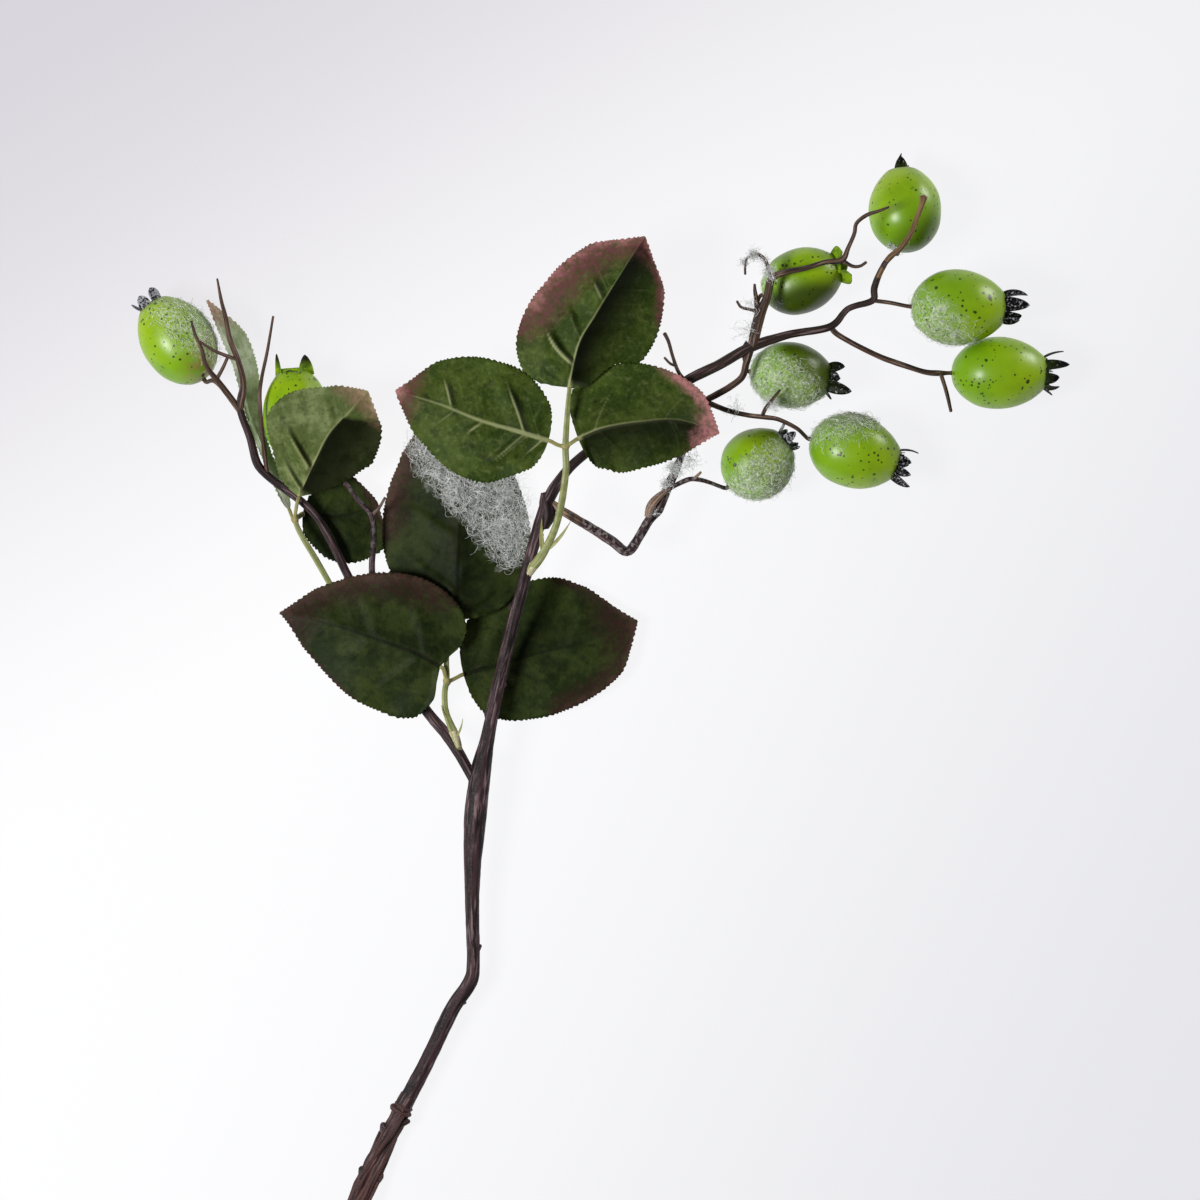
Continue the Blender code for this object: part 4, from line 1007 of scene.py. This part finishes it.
def nubs(shape):
    """Small buds, scars and stubs that lean forward out of the main stem."""
    rows = spline(MAIN_STEM, 24)
    forward, side, up = carried_frames(rows[:, :3])
    where = run_lengths(rows[:, :3])
    for number, (share, turn, length, radius) in enumerate(NUBS):
        i = int(np.searchsorted(where, share * where[-1]))
        out = around(math.radians(turn), side[i], up[i])
        root = rows[i, :3] + out * rows[i, 3] * 0.6
        tip = root + unit(out + 0.8 * forward[i]) * (0.7 * length + rows[i, 3] * 0.4)
        route = [(*root, radius * 1.5), (*((root + tip) / 2), radius * 1.1), (*tip, radius * 0.6)]
        sweep(shape, route, 12, 0.25, 0.2, 60 + number)


def left_branch(material, hips):
    """The left branch: dark bark, then bark gone tan with wear over its last stretch and its offshoots."""
    shape = Shape()
    sweep(shape, LEFT_BRANCH[:LEFT_DARK_ROWS], 26, 0.6, 0.12, 2)
    ends = [LEFT_BRANCH[LEFT_DARK_ROWS - 2:], LEFT_BRISTLE, LEFT_FORK, LEFT_CROSS, LEFT_LINK]
    ends.append(to_hip(HIP_1_STALK, hips["1"]))
    for number, route in enumerate(ends):
        sweep(shape, route, 20, 0.6, 0.12, 12 + 10 * number, tan=0.3)
    shape.piece("left_branch_bark", material, ["left_branch"])


def stems(bark, twig, hips):
    """Every stem and twig, and the stalks of the hips that don't end one."""
    main_stem(bark)
    left_branch(bark, hips)
    twig_piece("inner_twig", bark, [INNER_TWIG, INNER_STUB], seed=5, flaky=0.4)
    spur = [RIGHT_SPUR, to_hip(SPUR_TWIG, hips["9"]), SPUR_STUB]
    twig_piece("right_spur", bark, spur, 22, 0.6, 0.20, 6, flaky=1.0)
    upright = [UPRIGHT_TWIG, UPRIGHT_HOOK, WEB_HOOK, UPRIGHT_STUB, UPRIGHT_SPUR]
    twig_piece("upright_twig", twig, upright, seed=7)
    twig_piece("lower_twig", twig, [to_hip(LOWER_TWIG, hips["8"]), LOWER_STUB], seed=8)
    twig_piece("end_twig", twig, [to_hip(END_TWIG, hips["6"]), END_STUB], seed=9)
    twig_piece("bare_twig", twig, [BARE_TWIG, BARE_KNOB], seed=11)
    for number, route in PEDICELS.items():
        twig_piece(f"hip_stalk_{number}", twig, [to_hip(route, hips[number])], 14, 0.4, 0.1, 12)


def met(route, leaflet):
    """The stalk's route, led on to where the leaflet's midrib begins."""
    return list(route) + [(*LEAFLETS[leaflet][0][0], route[-1][3])]


def leaf_stalk(name, material, route, offshoots):
    """A grooved stalk with a pale swollen foot. Its leaflets' short stalks leave it from swellings."""
    shape = Shape()
    for number, row in enumerate([route] + offshoots):
        sweep(shape, row, 16, 0.4, 0.05, 70 + number, groove=0.24, joint=0.6 * (number > 0))
    for shoot in offshoots:
        start = np.array(shoot[0])
        along = unit(np.array(shoot[1])[:3] - start[:3])
        before, after = start[:3] - along * 0.9, start[:3] + along * 1.2
        knot = [(*before, 0.35), (*start[:3], start[3] * 1.7), (*after, 0.45)]
        sweep(shape, knot, 12, 0.25, 0.08, 80, joint=1.0)
    sheath = spline(route[:4], 4)[1:10]
    grown = 1 + 0.18 * np.sin(np.linspace(0.3, math.pi, len(sheath)))[:, None]
    sweep(shape, np.hstack([sheath[:, :3], sheath[:, 3:] * grown]), 18, 0.25, 0.14, 90, groove=0.3)
    foot = sheath[1:5]
    sweep(shape, np.hstack([foot[:, :3], foot[:, 3:] * 1.2]), 16, 0.25, 0.30, 92, cream=1.0)
    shape.piece(f"{name}_skin", material, [name])


def leaf_stalks(material):
    """The three leaves' stalks, each led on to its leaflets."""
    pairs = {"upper": (UPPER_STALK, UPPER_PETIOLULES), "lower": (LOWER_STALK, LOWER_PETIOLULES)}
    for leaf, (stalk, petiolules) in pairs.items():
        shoots = [met(route, f"{leaf}_leaflet_{side}") for route, side in zip(petiolules, ("left", "right"))]
        leaf_stalk(f"{leaf}_leaf_stalk", material, met(stalk, f"{leaf}_leaflet_tip"), shoots)
    shoots = [met(route, f"side_leaflet_{side}") for route, side in zip(SIDE_PETIOLULES, ("folded", "edge"))]
    shoots.append(met(SIDE_STALK[-1:], "side_leaflet_back"))
    leaf_stalk("side_leaf_stalk", material, SIDE_STALK, shoots)


def stipules(material):
    """Two thin pointed bracts at the foot of the upper leaf's stalk and two at the lower leaf's."""
    shape = Shape()
    share = np.linspace(0, 1, STIPULE_STEPS)
    for start, end, width, bow in STIPULES:
        start, end = np.array(start), np.array(end)
        beside = unit(np.cross(unit(end - start), (0, 0, 1)))
        aside = (np.sin(math.pi * share) * bow * 0.3)[:, None] * beside
        centres = start + share[:, None] * (end - start) + aside
        half = width / 2 * (1 - share) ** 0.8 * (0.6 + 0.4 * np.sin(math.pi * share)) + 0.05
        ribbon(shape, centres, beside, half, 0.3, 0.16, joint=0.3)
    shape.piece("stipules", material)


# ---- leaflets ----

def half_widths(shares, widths):
    """Half the blade's width at these shares of its length, with the base and the tip rounded off."""
    row = spline([(w,) for w in widths], 24)[:, 0]
    width = np.interp(shares * (len(row) - 1), np.arange(len(row)), row)
    to_base = 1 - np.minimum(shares / LEAF_BASE_ROUND, 1)
    to_tip = np.maximum(0, 1 - (1 - shares) / LEAF_TIP_ROUND)
    width = width * np.sqrt(1 - to_base**2) * (1 - to_tip**1.5) ** 0.75
    return np.maximum(width, LEAF_END_HALF_WIDTH)[:, None]


class Blade:
    """A leaflet's grid: rings from its base to its tip, columns from its right margin to its left one."""

    def __init__(self, name):
        self.name = name
        midrib, left, right, *_ = LEAFLETS[name]
        even = np.linspace(0, 1, LEAF_RINGS + 1)
        share = 0.6 * even + 0.4 * (0.5 - 0.5 * np.cos(np.pi * even))
        fine = spline(midrib, 40)
        self.centre = at(fine, np.arange(len(fine)) / (len(fine) - 1), share)
        self.run = unit(np.gradient(self.centre, axis=0)[:, :2])
        self.side = np.stack([-self.run[:, 1], self.run[:, 0]], 1)
        self.along = run_lengths(self.centre)[:, None]
        self.length = self.along[-1, 0]
        even = np.linspace(-1, 1, 2 * LEAF_COLUMNS + 1)
        across = np.sign(even) * (0.55 * np.abs(even) + 0.45 * even**2)
        self.share, self.across = np.meshgrid(share, across, indexing="ij")
        self.width_left, self.width_right = half_widths(share, left), half_widths(share, right)
        self.width = self.either(self.width_left, self.width_right)
        self.out = np.abs(self.across) * self.width
        self.near_margin = smooth_step(np.abs(self.across), 0.82, 1.0)

    def either(self, left, right):
        """The one value over its left half, the other over its right half."""
        return np.where(self.across > 0, left, right)

    def past_vein(self, along):
        """How far towards the tip of a side vein that leaves the midrib at its base each point lies."""
        return along - LATERAL_SLANT * self.out - LATERAL_CURVE * self.out**2

    def fading(self, low, high):
        """1 on the side veins' inner stretch and 0 at the midrib and towards the margin."""
        share_out = self.out / self.width
        return smooth_step(share_out, 0.0, 0.10) * (1 - smooth_step(share_out, low, high))

    def teeth(self, width, sign):
        """How far each point of one margin moves for its teeth: a saw that leans to the tip."""
        margin = self.centre[:, :2] + self.side * width * sign
        where = run_lengths(margin)
        phase = (where / TOOTH_PITCH + 0.35 * np.sin(0.8 * where)) % 1
        saw = np.where(phase < TOOTH_LEAN, phase / TOOTH_LEAN, (1 - phase) / (1 - TOOTH_LEAN))
        fade = smooth_step(where, 1.5, 5.0) * smooth_step(where[-1] - where, 0.3, 1.2)
        run = unit(np.gradient(margin, axis=0))
        outward = np.stack([-run[:, 1], run[:, 0]], 1) * sign
        return (outward * ((saw - 0.45) * TOOTH_HEIGHT * fade)[:, None])[:, None]

    def outline(self):
        """Its points, all still at the midrib's height, with teeth along the margins."""
        points = np.repeat(self.centre[:, None], self.across.shape[1], axis=1)
        points[:, :, :2] += self.side[:, None] * np.copysign(self.out, self.across)[:, :, None]
        is_left = (self.across > 0)[:, :, None]
        moved = np.where(is_left, self.teeth(self.width_left, 1), self.teeth(self.width_right, -1))
        points[:, :, :2] += moved * self.near_margin[:, :, None]
        return points

    def faint_veins(self, seed):
        """How much each point lies on one of the faint side veins."""
        spacing = 0.86 * self.length / LATERALS
        from_vein = self.past_vein(self.along + self.either(1.1, 0.0)) / spacing + 0.4
        number = np.round(from_vein)
        near = (from_vein - number) * spacing
        numbers = np.stack([number, number * 0, number * 0], -1).reshape(-1, 3)
        strength = lattice(numbers, seed).reshape(near.shape) * self.fading(0.5, 0.95)
        return np.exp(-((near / 0.42) ** 2)) * strength

    def side_folds(self):
        """How much each point lies on a folded side vein, how high the folds lift it, and their painted
        shade.
        """
        line, lift, painted_flank_shade = np.zeros((3, *self.out.shape))
        for half, share, reach, height, lean in FOLDS[self.name]:
            near = self.past_vein(self.along) - share * self.length
            flank = np.where(near * lean > 0, FOLD_STEEP, FOLD_GENTLE)
            strength = self.fading(0.55 * reach, reach) * self.either(half > 0, half < 0) * height
            lift += strength * np.exp(-((near / flank) ** 2))
            line += 0.42 * strength * np.exp(-((near / (0.24 + 0.12 * strength)) ** 2))
            # Painted shade along each fold's steep flank.
            painted_flank_shade += 0.42 * strength * np.exp(-(((near * lean - 1.0) / 0.7) ** 2))
        return line, lift, np.minimum(painted_flank_shade, 0.62)

    def blush(self):
        """How strongly each point blushes, from its distance to the margins and to the tip."""
        reach_left, reach_right, reach_tip, start_left, start_right, _ = BLUSH[self.name]
        place = self.across * self.width
        by_left = (1 - (self.width_left - place) / (1.7 * reach_left))
        by_left = by_left * smooth_step(self.share, start_left, start_left + 0.3)
        by_right = (1 - (self.width_right + place) / (1.7 * reach_right))
        by_right = by_right * smooth_step(self.share, start_right, start_right + 0.3)
        by_tip = 1 - (self.length - self.along) / (1.7 * reach_tip)
        return np.clip(np.maximum(np.maximum(by_left, by_right), by_tip), 0, 1)

    def turned_down(self):
        """How much of its turned down slope the folded leaflet's right half keeps; 1 on other leaflets."""
        slanted = self.share - UNTURNED_SLANT * self.out / self.length
        return 1 - smooth_step(slanted, *UNTURNED) * 0.8 * (self.name == FOLDED_LEAFLET)

    def webbed(self, top):
        """Whether a point lies under the web, whose edge is ragged."""
        strayed = top[:, :, :2] + 2.2 * np.stack([value_noise(top * 0.6, 1), value_noise(top * 0.6, 2)], -1)
        return inside(strayed, WEB_OUTLINE) * (self.name == WEBBED_LEAFLET)


def blade(name, material):
    """A leaflet: the CAD blade's surface with teeth, a midrib and folded side veins, as a thin skin."""
    midrib, *_, slope_left, slope_right, ripple = LEAFLETS[name]
    crease_left, crease_right, painted_shade_left, painted_shade_right, painted_shade_reach, rib_height = LEAF_FORM[name]
    leaf = Blade(name)
    seed = len(name) + int(abs(midrib[0][0]))
    top = leaf.outline()
    line, fold, painted_flank_shade = leaf.side_folds()
    faint = leaf.faint_veins(seed)
    thin = 1 - 0.7 * leaf.share
    rib = np.exp(-((leaf.out / (0.26 + 0.38 * thin)) ** 2)) * thin
    ends = smooth_step(leaf.share, 0.0, 0.06) * (1 - smooth_step(leaf.share, 0.93, 1.0))
    turned = leaf.turned_down()
    top[:, :, 2] += leaf.either(slope_left, slope_right * turned) * leaf.out
    top[:, :, 2] += ripple * leaf.across**2 * np.sin(leaf.share * 5 * np.pi)
    drop = leaf.either(crease_left, crease_right) * (1 - np.exp(-leaf.out / CREASE_WIDTH))
    waves = 0.12 * value_noise(top * (0.35, 0.35, 0.0), seed) + 0.10 * faint
    top[:, :, 2] += (fold + waves - drop) * ends + rib_height * rib
    lobe = LOBES.get(name, 0.0) * smooth_step(leaf.out, 0, 9) * (1 - smooth_step(leaf.share, 0.0, 0.34))
    top[:, :, :2] -= leaf.run[:, None] * lobe[:, :, None]
    # Painted shade: darker colour beside the midrib of a creased half, standing in for its shadow.
    dark = leaf.either(painted_shade_left, painted_shade_right * turned**3) * np.exp(-((leaf.out / painted_shade_reach) ** 2))
    thickness = LEAF_SKIN * (1 - 0.55 * leaf.near_margin)
    bottom = top - np.array((0, 0, 1)) * thickness[:, :, None]
    # A sunken midrib gets a negative vein mark, which the leaf material paints as shade in its groove.
    vein = np.clip(rib * 1.3 * np.sign(rib_height) + (line + 0.42 * faint), -1, 1)
    shape = Shape()
    add_sheet(shape, top, bottom, vein=vein, shade=np.maximum(dark, painted_flank_shade) * ends, web=leaf.webbed(top),
              blush=leaf.blush(), pale=BLUSH[name][-1])
    return shape.piece(name + "_blade", material, [name])


def leaves():
    """All leaflets. The back one of the side leaf has the lower leaf's colours, its edge-on one its own."""
    kinds = {kind: leaf_material(f"leaf_{kind}", *colours) for kind, colours in LEAF_COLOURS.items()}
    kinds["back"] = kinds["lower"]
    blades = {}
    for name in LEAFLETS:
        leaf, _, place = name.split("_")
        blades[name] = blade(name, kinds.get(place, kinds[leaf]))
    return blades


# ---- hips ----

def facing(heading, rise=0.25):
    """The direction that faces this heading, in degrees, and a little upward."""
    heading = math.radians(heading)
    return unit(np.array((math.cos(heading), math.sin(heading), rise)))


def facing_field(table, hip, outward):
    """A field over the hip that is strongest where its skin faces the table's heading."""
    if hip.number not in table:
        return np.zeros(outward.shape[:-1])
    heading, reach, strength = table[hip.number]
    return strength * smooth_step(outward @ facing(heading), reach, reach + 0.55)


def hip_piece(hip, material):
    """A hip: its outline turned about its axis, slightly lumpy, with faint ribs that run to the calyx."""
    outline = spline(HIP_PROFILE, 12)
    outline = at(outline, run_lengths(outline), np.linspace(0, run_lengths(outline)[-1], HIP_ALONG + 1))[1:-1]
    turns = np.arange(HIP_AROUND) * math.tau / HIP_AROUND
    share = outline[:, :1] + 0 * turns
    ribs = RIB_HEIGHT * np.cos(HIP_RIBS * turns) * smooth_step(share, 0.45, 0.95)
    round_it = np.stack([np.cos(turns) + 0 * share, np.sin(turns) + 0 * share, 2 * share], -1)
    lumps = LUMP_HEIGHT * value_noise(round_it * 1.3, int(hip.number))
    radius = outline[:, 1:] * hip.radius * (1 + ribs + lumps)
    rings = hip.stalk_end() + share[:, :, None] * hip.length * hip.axis
    rings = rings + radius[:, :, None] * hip.outward(turns)
    outward = unit(rings - hip.middle)
    fields = {"haze": HAZE, "gloom": GLOOM, "rust": RUST}
    fields = {name: facing_field(table, hip, outward) for name, table in fields.items()}
    shape = Shape()
    add_tube(shape, rings, hip.stalk_end(-0.2), hip.calyx_end() - hip.axis * 0.2, along=share, **fields)
    shape.piece(f"hip_{hip.number}_skin", material, [f"hip_{hip.number}"])


def ribbon(shape, centres, beside, halves, fold, thickness, **marks):
    """A narrow blade along a line of points, its width along beside, folded lengthwise into a V."""
    forward = unit(np.gradient(centres, axis=0))
    normal = unit(np.cross(beside, forward))
    across = np.linspace(-1, 1, 7)
    flat = centres[:, None] + beside * (across[None, :, None] * halves[:, None, None])
    lift = fold * halves[:, None] * (np.abs(across) - 0.4)[None]
    top = flat + normal[:, None] * lift[:, :, None]
    thick = thickness * (1 - 0.6 * across**2)[None, :, None] * normal[:, None]
    add_sheet(shape, top + thick / 2, top - thick / 2, **marks)


def calyx_piece(hip, material):
    """The dried crown: five sepals round a low rim, with a tuft of short stamens in the middle."""
    shape = Shape()
    share = np.linspace(0, 1, SEPAL_STEPS)
    rim, bluntness, olive, pale, dark, stamen_size = CROWNS[hip.number]
    root = hip.calyx_end() - hip.axis * (0.5 + 0.25 * rim)
    for turn, spread, length, width, curl in SEPALS[hip.number]:
        out = hip.outward(math.radians(turn))
        lean = math.radians(spread) + curl * share
        step = length / (SEPAL_STEPS - 1)
        outward = rim + totals(np.sin(lean[1:]) * step)
        onward = totals(np.cos(lean[1:]) * step)
        centres = root + outward[:, None] * out + onward[:, None] * hip.axis
        half = width / 2 * (0.80 + 0.5 * share) * (1 - share**bluntness) ** 0.75 + 0.06
        green = olive * (1 - smooth_step(share[:, None], 0.30, 0.80) * dark)
        ribbon(shape, centres, np.cross(hip.axis, out), half, 0.35, SEPAL_THICKNESS, olive=green, pale=pale)
    ring = hip.calyx_end() - hip.axis * 0.25 + 0.92 * rim * hip.outward(np.linspace(0, math.tau, 33))
    rows = np.column_stack([ring, np.full(len(ring), RIM_RADIUS)])
    sweep(shape, rows, 10, 0.35, 0.3, 5, olive=min(1.0, olive + 0.05))
    stamens(shape, hip, rim, pale, stamen_size)
    shape.piece(f"calyx_{hip.number}_sepals", material, [f"calyx_{hip.number}"])


def stamens(shape, hip, rim, pale, size):
    """Short thin stamens that stand up inside the rim."""
    draw = np.random.default_rng(SEEDS["stamens"] + int(hip.number))
    for _ in range(STAMENS):
        turn, away = draw.uniform(0, math.tau), rim * math.sqrt(draw.uniform(0.05, 1))
        out = hip.outward(turn)
        start = hip.calyx_end() - hip.axis * (0.25 + 0.35 * away / rim) + out * away * 0.9
        length = draw.uniform(0.9, 1.9) * size
        end = start + unit(hip.axis + out * draw.uniform(-0.1, 0.6)) * length
        middle = (start + end) / 2 + out * 0.15
        sweep(shape, [(*start, 0.13), (*middle, 0.10), (*end, 0.14)], 5, 0.5, pale=pale, olive=0.05)


# ---- the web of fine fibres ----

def wander(draw, starts, headings, steps, step, turning):
    """Curly flat paths: each heads off from its start and keeps turning, now one way and now the other."""
    bend = draw.normal(0, turning, (len(starts), 1))
    bend = bend + np.cumsum(draw.normal(0, turning * 0.55, (len(starts), steps)), 1)
    heading = headings[:, None] + np.cumsum(bend, axis=1)
    moves = np.stack([np.cos(heading), np.sin(heading)], -1) * step
    return starts[:, None] + np.concatenate([np.zeros((len(starts), 1, 2)), np.cumsum(moves, axis=1)], axis=1)


def inside(points, outline):
    """Whether each flat point lies inside a closed outline."""
    x, y = points[..., 0], points[..., 1]
    found = np.zeros(x.shape, bool)
    corners = np.array(outline, float)
    for (x1, y1), (x2, y2) in zip(corners, np.roll(corners, -1, axis=0)):
        crosses = (y1 > y) != (y2 > y)
        found ^= crosses & (x < (x2 - x1) * (y - y1) / (y2 - y1 + 1e-12) + x1)
    return found


def leaf_web(material, leaf):
    """The web on the lower leaf's end leaflet: curly fibres that start and end inside its outline.

    They lie just over the blade. Returns their flat paths and the height of the blade under them.
    """
    draw = np.random.default_rng(SEEDS["leaf_web"])
    starts = draw.uniform(*WEB_BOX, (WEB_FIBRES * 4, 2))
    starts = starts[inside(starts + draw.normal(0, 1.2, starts.shape), WEB_OUTLINE)]
    headings = draw.uniform(0, math.tau, len(starts))
    paths = wander(draw, starts, headings, WEB_STEPS, WEB_STEP, WEB_TURNING)
    paths = paths[inside(paths[:, -1] + draw.normal(0, 1.3, starts.shape), WEB_OUTLINE)][:WEB_FIBRES]
    billow = 0.7 + 0.5 * np.sin(np.linspace(0, 3, WEB_STEPS + 1) + paths[:, :1, 0])
    height = draw.uniform(0.10, 1.3, (len(paths), 1)) * billow
    surface = surface_under(leaf, paths)
    known = np.isfinite(surface[:, 0])
    paths, height, surface = paths[known], height[known], surface[known]
    surface = np.where(np.isfinite(surface), surface, surface[:, :1])
    shape = Shape()
    add_fibres(shape, np.concatenate([paths, (surface + height)[:, :, None]], axis=2), FIBRE_RADIUS)
    shape.piece("leaf_web", material)
    return paths, surface


def surface_under(obj, paths):
    """The height of a piece's upper side under each flat point, or NaN where there is none."""
    found = np.full(paths.shape[:-1], np.nan)
    for place in np.ndindex(found.shape):
        x, y = paths[place] * MM
        hit, point, _, _ = obj.ray_cast((x, y, ABOVE_ALL), (0, 0, -1))
        if hit:
            found[place] = point[2] / MM
    return found


def on_hip(hip, directions, lift):
    """Points this far above a hip's skin in the given directions from its middle."""
    along = directions @ hip.axis
    across = directions - along[..., None] * hip.axis
    skin = hip.middle + along[..., None] * hip.axis * hip.length * 0.49 + across * hip.radius * 0.99
    return skin + directions * lift[..., None]


def crawl(draw, directions):
    """Paths of five directions that creep over a ball, each turning a little at every step."""
    path = [directions]
    travel = unit(np.cross(directions, draw.normal(0, 1, directions.shape)))
    bend = draw.normal(0, 0.14, len(directions))
    for _ in range(HIP_FIBRE_STEPS):
        bend = bend + draw.normal(0, 0.12, len(directions))
        travel = unit(around(bend, travel, np.cross(path[-1], travel)))
        path.append(unit(path[-1] + travel * draw.uniform(0.04, 0.09, (len(directions), 1))))
        travel = unit(travel - (travel * path[-1]).sum(1, keepdims=True) * path[-1])
    return np.stack(path, axis=1)


def hip_webs(material, hips):
    """Fibres that lie in slight curves over the hazy side of the hips."""
    shape = Shape()
    arch = np.sin(np.linspace(0, math.pi, HIP_FIBRE_STEPS + 1))[None]
    for number, count in HAZE_FIBRES.items():
        draw = np.random.default_rng(SEEDS["hip_webs"] + int(number))
        heading, reach, _ = HAZE[number]
        directions = unit(draw.normal(0, 1, (count * 30, 3)))
        chance = smooth_step(directions @ facing(heading), reach, reach + 0.6)
        kept = (draw.uniform(0, 1, len(chance)) < chance) & (directions[:, 2] > -0.75)
        directions = crawl(draw, directions[kept][:count])
        few = (len(directions), 1)
        lift = draw.uniform(0.04, 0.30, few) + arch * draw.exponential(0.28, few)
        add_fibres(shape, on_hip(hips[number], directions, lift), HIP_FIBRE_RADIUS)
    shape.piece("hip_webs", material)


def tufts(material):
    """Loose tufts of fibre caught on the twigs."""
    shape = Shape()
    draw = np.random.default_rng(SEEDS["tufts"])
    for middle, reach, count in TUFTS:
        starts = np.array(middle) + draw.normal(0, reach * 0.28, (count, 3)) * (1, 1, 0.5)
        heading = unit(draw.normal(0, 1, (count, 3)) * (1, 1, 0.5))
        path = [starts]
        for _ in range(TUFT_STEPS):
            heading = unit(heading + draw.normal(0, 0.42, heading.shape) * (1, 1, 0.6))
            path.append(path[-1] + heading * reach * 0.085)
        add_fibres(shape, np.stack(path, axis=1), FIBRE_RADIUS)
    shape.piece("twig_tufts", material)


def add_flakes(shape, places, draw, low, high):
    """Small flat glinting flakes, each a squashed eight-faced crystal."""
    corners = np.array([(1, 0, 0), (0, 1, 0), (-1, 0, 0), (0, -1, 0), (0, 0, 0.25), (0, 0, -0.25)], float)
    faces = np.array([(0, 1, 4), (1, 2, 4), (2, 3, 4), (3, 0, 4), (1, 0, 5), (2, 1, 5), (3, 2, 5), (0, 3, 5)])
    for place in places:
        axes = np.linalg.qr(draw.normal(0, 1, (3, 3)))[0]
        axes *= np.sign(np.linalg.det(axes))
        shape.add(place + corners * draw.uniform(low, high) @ axes, [faces])


def glints(material, paths, surface, hips):
    """Bright flakes scattered over the web and the hazy hips."""
    draw = np.random.default_rng(SEEDS["glints"])
    shape = Shape()
    chosen = draw.integers(0, len(paths), GLINTS)
    places = np.column_stack([paths[chosen, 4], surface[chosen, 4] + draw.uniform(0.3, 1.4, GLINTS)])
    add_flakes(shape, places, draw, 0.10, 0.26)
    for number, count in HIP_GLINTS.items():
        heading, reach, _ = HAZE[number]
        directions = unit(draw.normal(0, 1, (900, 3)))
        directions = directions[directions @ facing(heading, 0.35) > reach + 0.15][:count]
        add_flakes(shape, on_hip(hips[number], directions, np.full(len(directions), 0.25)), draw, 0.06, 0.17)
    shape.piece("web_glints", material)


# ---- the studio ----

def area_light(name, place, size, power):
    """A soft round light that shines on the sprig's middle."""
    data = bpy.data.lights.new(name, "AREA")
    data.shape = "DISK"
    data.size, data.energy = size, power
    light = placed(name, data)
    light.location = place
    aim = mathutils.Vector(LIT_PLACE) - mathutils.Vector(place)
    light.rotation_mode = "QUATERNION"
    light.rotation_quaternion = aim.to_track_quat("-Z", "Y")


def floor():
    """A plain floor that its own glow makes pale, so that shadows on it stay faint."""
    paint = Paint("floor_paint", roughness=0.9, specular=0.1)
    paint.shader.inputs["Base Color"].default_value = FLOOR_COLOUR
    place = paint.nodes.new("ShaderNodeSeparateXYZ")
    paint.put(place.inputs[0], paint.place)
    x, y, _ = place.outputs
    # Painted light: the glow is brightest towards the lower left, dimmer to the right and dimmest towards the
    # top left, as light falling off across the floor.
    to_right = paint.math("SUBTRACT", x, paint.times(y, 0.5))
    to_corner = paint.math("SUBTRACT", y, paint.times(x, 0.6))
    glow = paint.mix(paint.ramp(to_right, -0.10, 0.25), (252, 252, 253), (227, 227, 232))
    glow = paint.mix(paint.ramp(to_corner, 0.05, 0.27), glow, (213, 209, 216))
    paint.put("Emission Color", glow)
    paint.put("Emission Strength", FLOOR_GLOW)
    mesh = bpy.data.meshes.new("studio_floor")
    corners = [(-1, -1), (1, -1), (1, 1), (-1, 1)]
    mesh.from_pydata([(x * FLOOR_HALF, y * FLOOR_HALF, 0) for x, y in corners], [], [(0, 1, 2, 3)])
    mesh.materials.append(paint.material)
    obj = placed("studio_floor", mesh)


def studio():
    """The floor, faint light from all round, and two soft lights."""
    floor()
    world = bpy.data.worlds.new("studio_air")
    world.use_nodes = True
    background = world.node_tree.nodes["Background"]
    background.inputs["Color"].default_value = AIR_COLOUR
    background.inputs["Strength"].default_value = AIR_GLOW
    bpy.context.scene.world = world
    for name, settings in LIGHTS.items():
        area_light(name, *settings)


def camera():
    """It looks straight down."""
    data = bpy.data.cameras.new("camera")
    data.lens, data.sensor_width = CAMERA_LENS, CAMERA_SENSOR
    obj = placed("camera", data)
    obj.location = [value * MM for value in CAMERA_PLACE]
    bpy.context.scene.camera = obj
    bpy.context.scene.view_settings.view_transform = "Standard"


def webs(blades, hips):
    """All the pale fibres and their glints."""
    fibre = plain_paint("web_fibre", (214, 216, 212), (246, 246, 246), 2.0, 0.5)
    paths, surface = leaf_web(fibre, blades[WEBBED_LEAFLET])
    hip_webs(plain_paint("hip_fibre", (150, 168, 120), (246, 248, 242), 0.9, 0.5), hips)
    tufts(fibre)
    glints(plain_paint("web_glint", (236, 236, 240), (255, 255, 255), 1.0, 0.15, 0.9), paths, surface, hips)


def main():
    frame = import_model()
    camera()
    studio()
    hips = {number: Hip(frame, number) for number in SEPALS}
    bark, twig = (bark_material(name, *colours) for name, colours in BARK_COLOURS.items())
    stems(bark, twig, hips)
    stalk = stalk_material()
    leaf_stalks(stalk)
    stipules(stalk)
    blades = leaves()
    wax, dry = hip_material(), sepal_material()
    for hip in hips.values():
        hip_piece(hip, wax)
        calyx_piece(hip, dry)
    webs(blades, hips)


main()
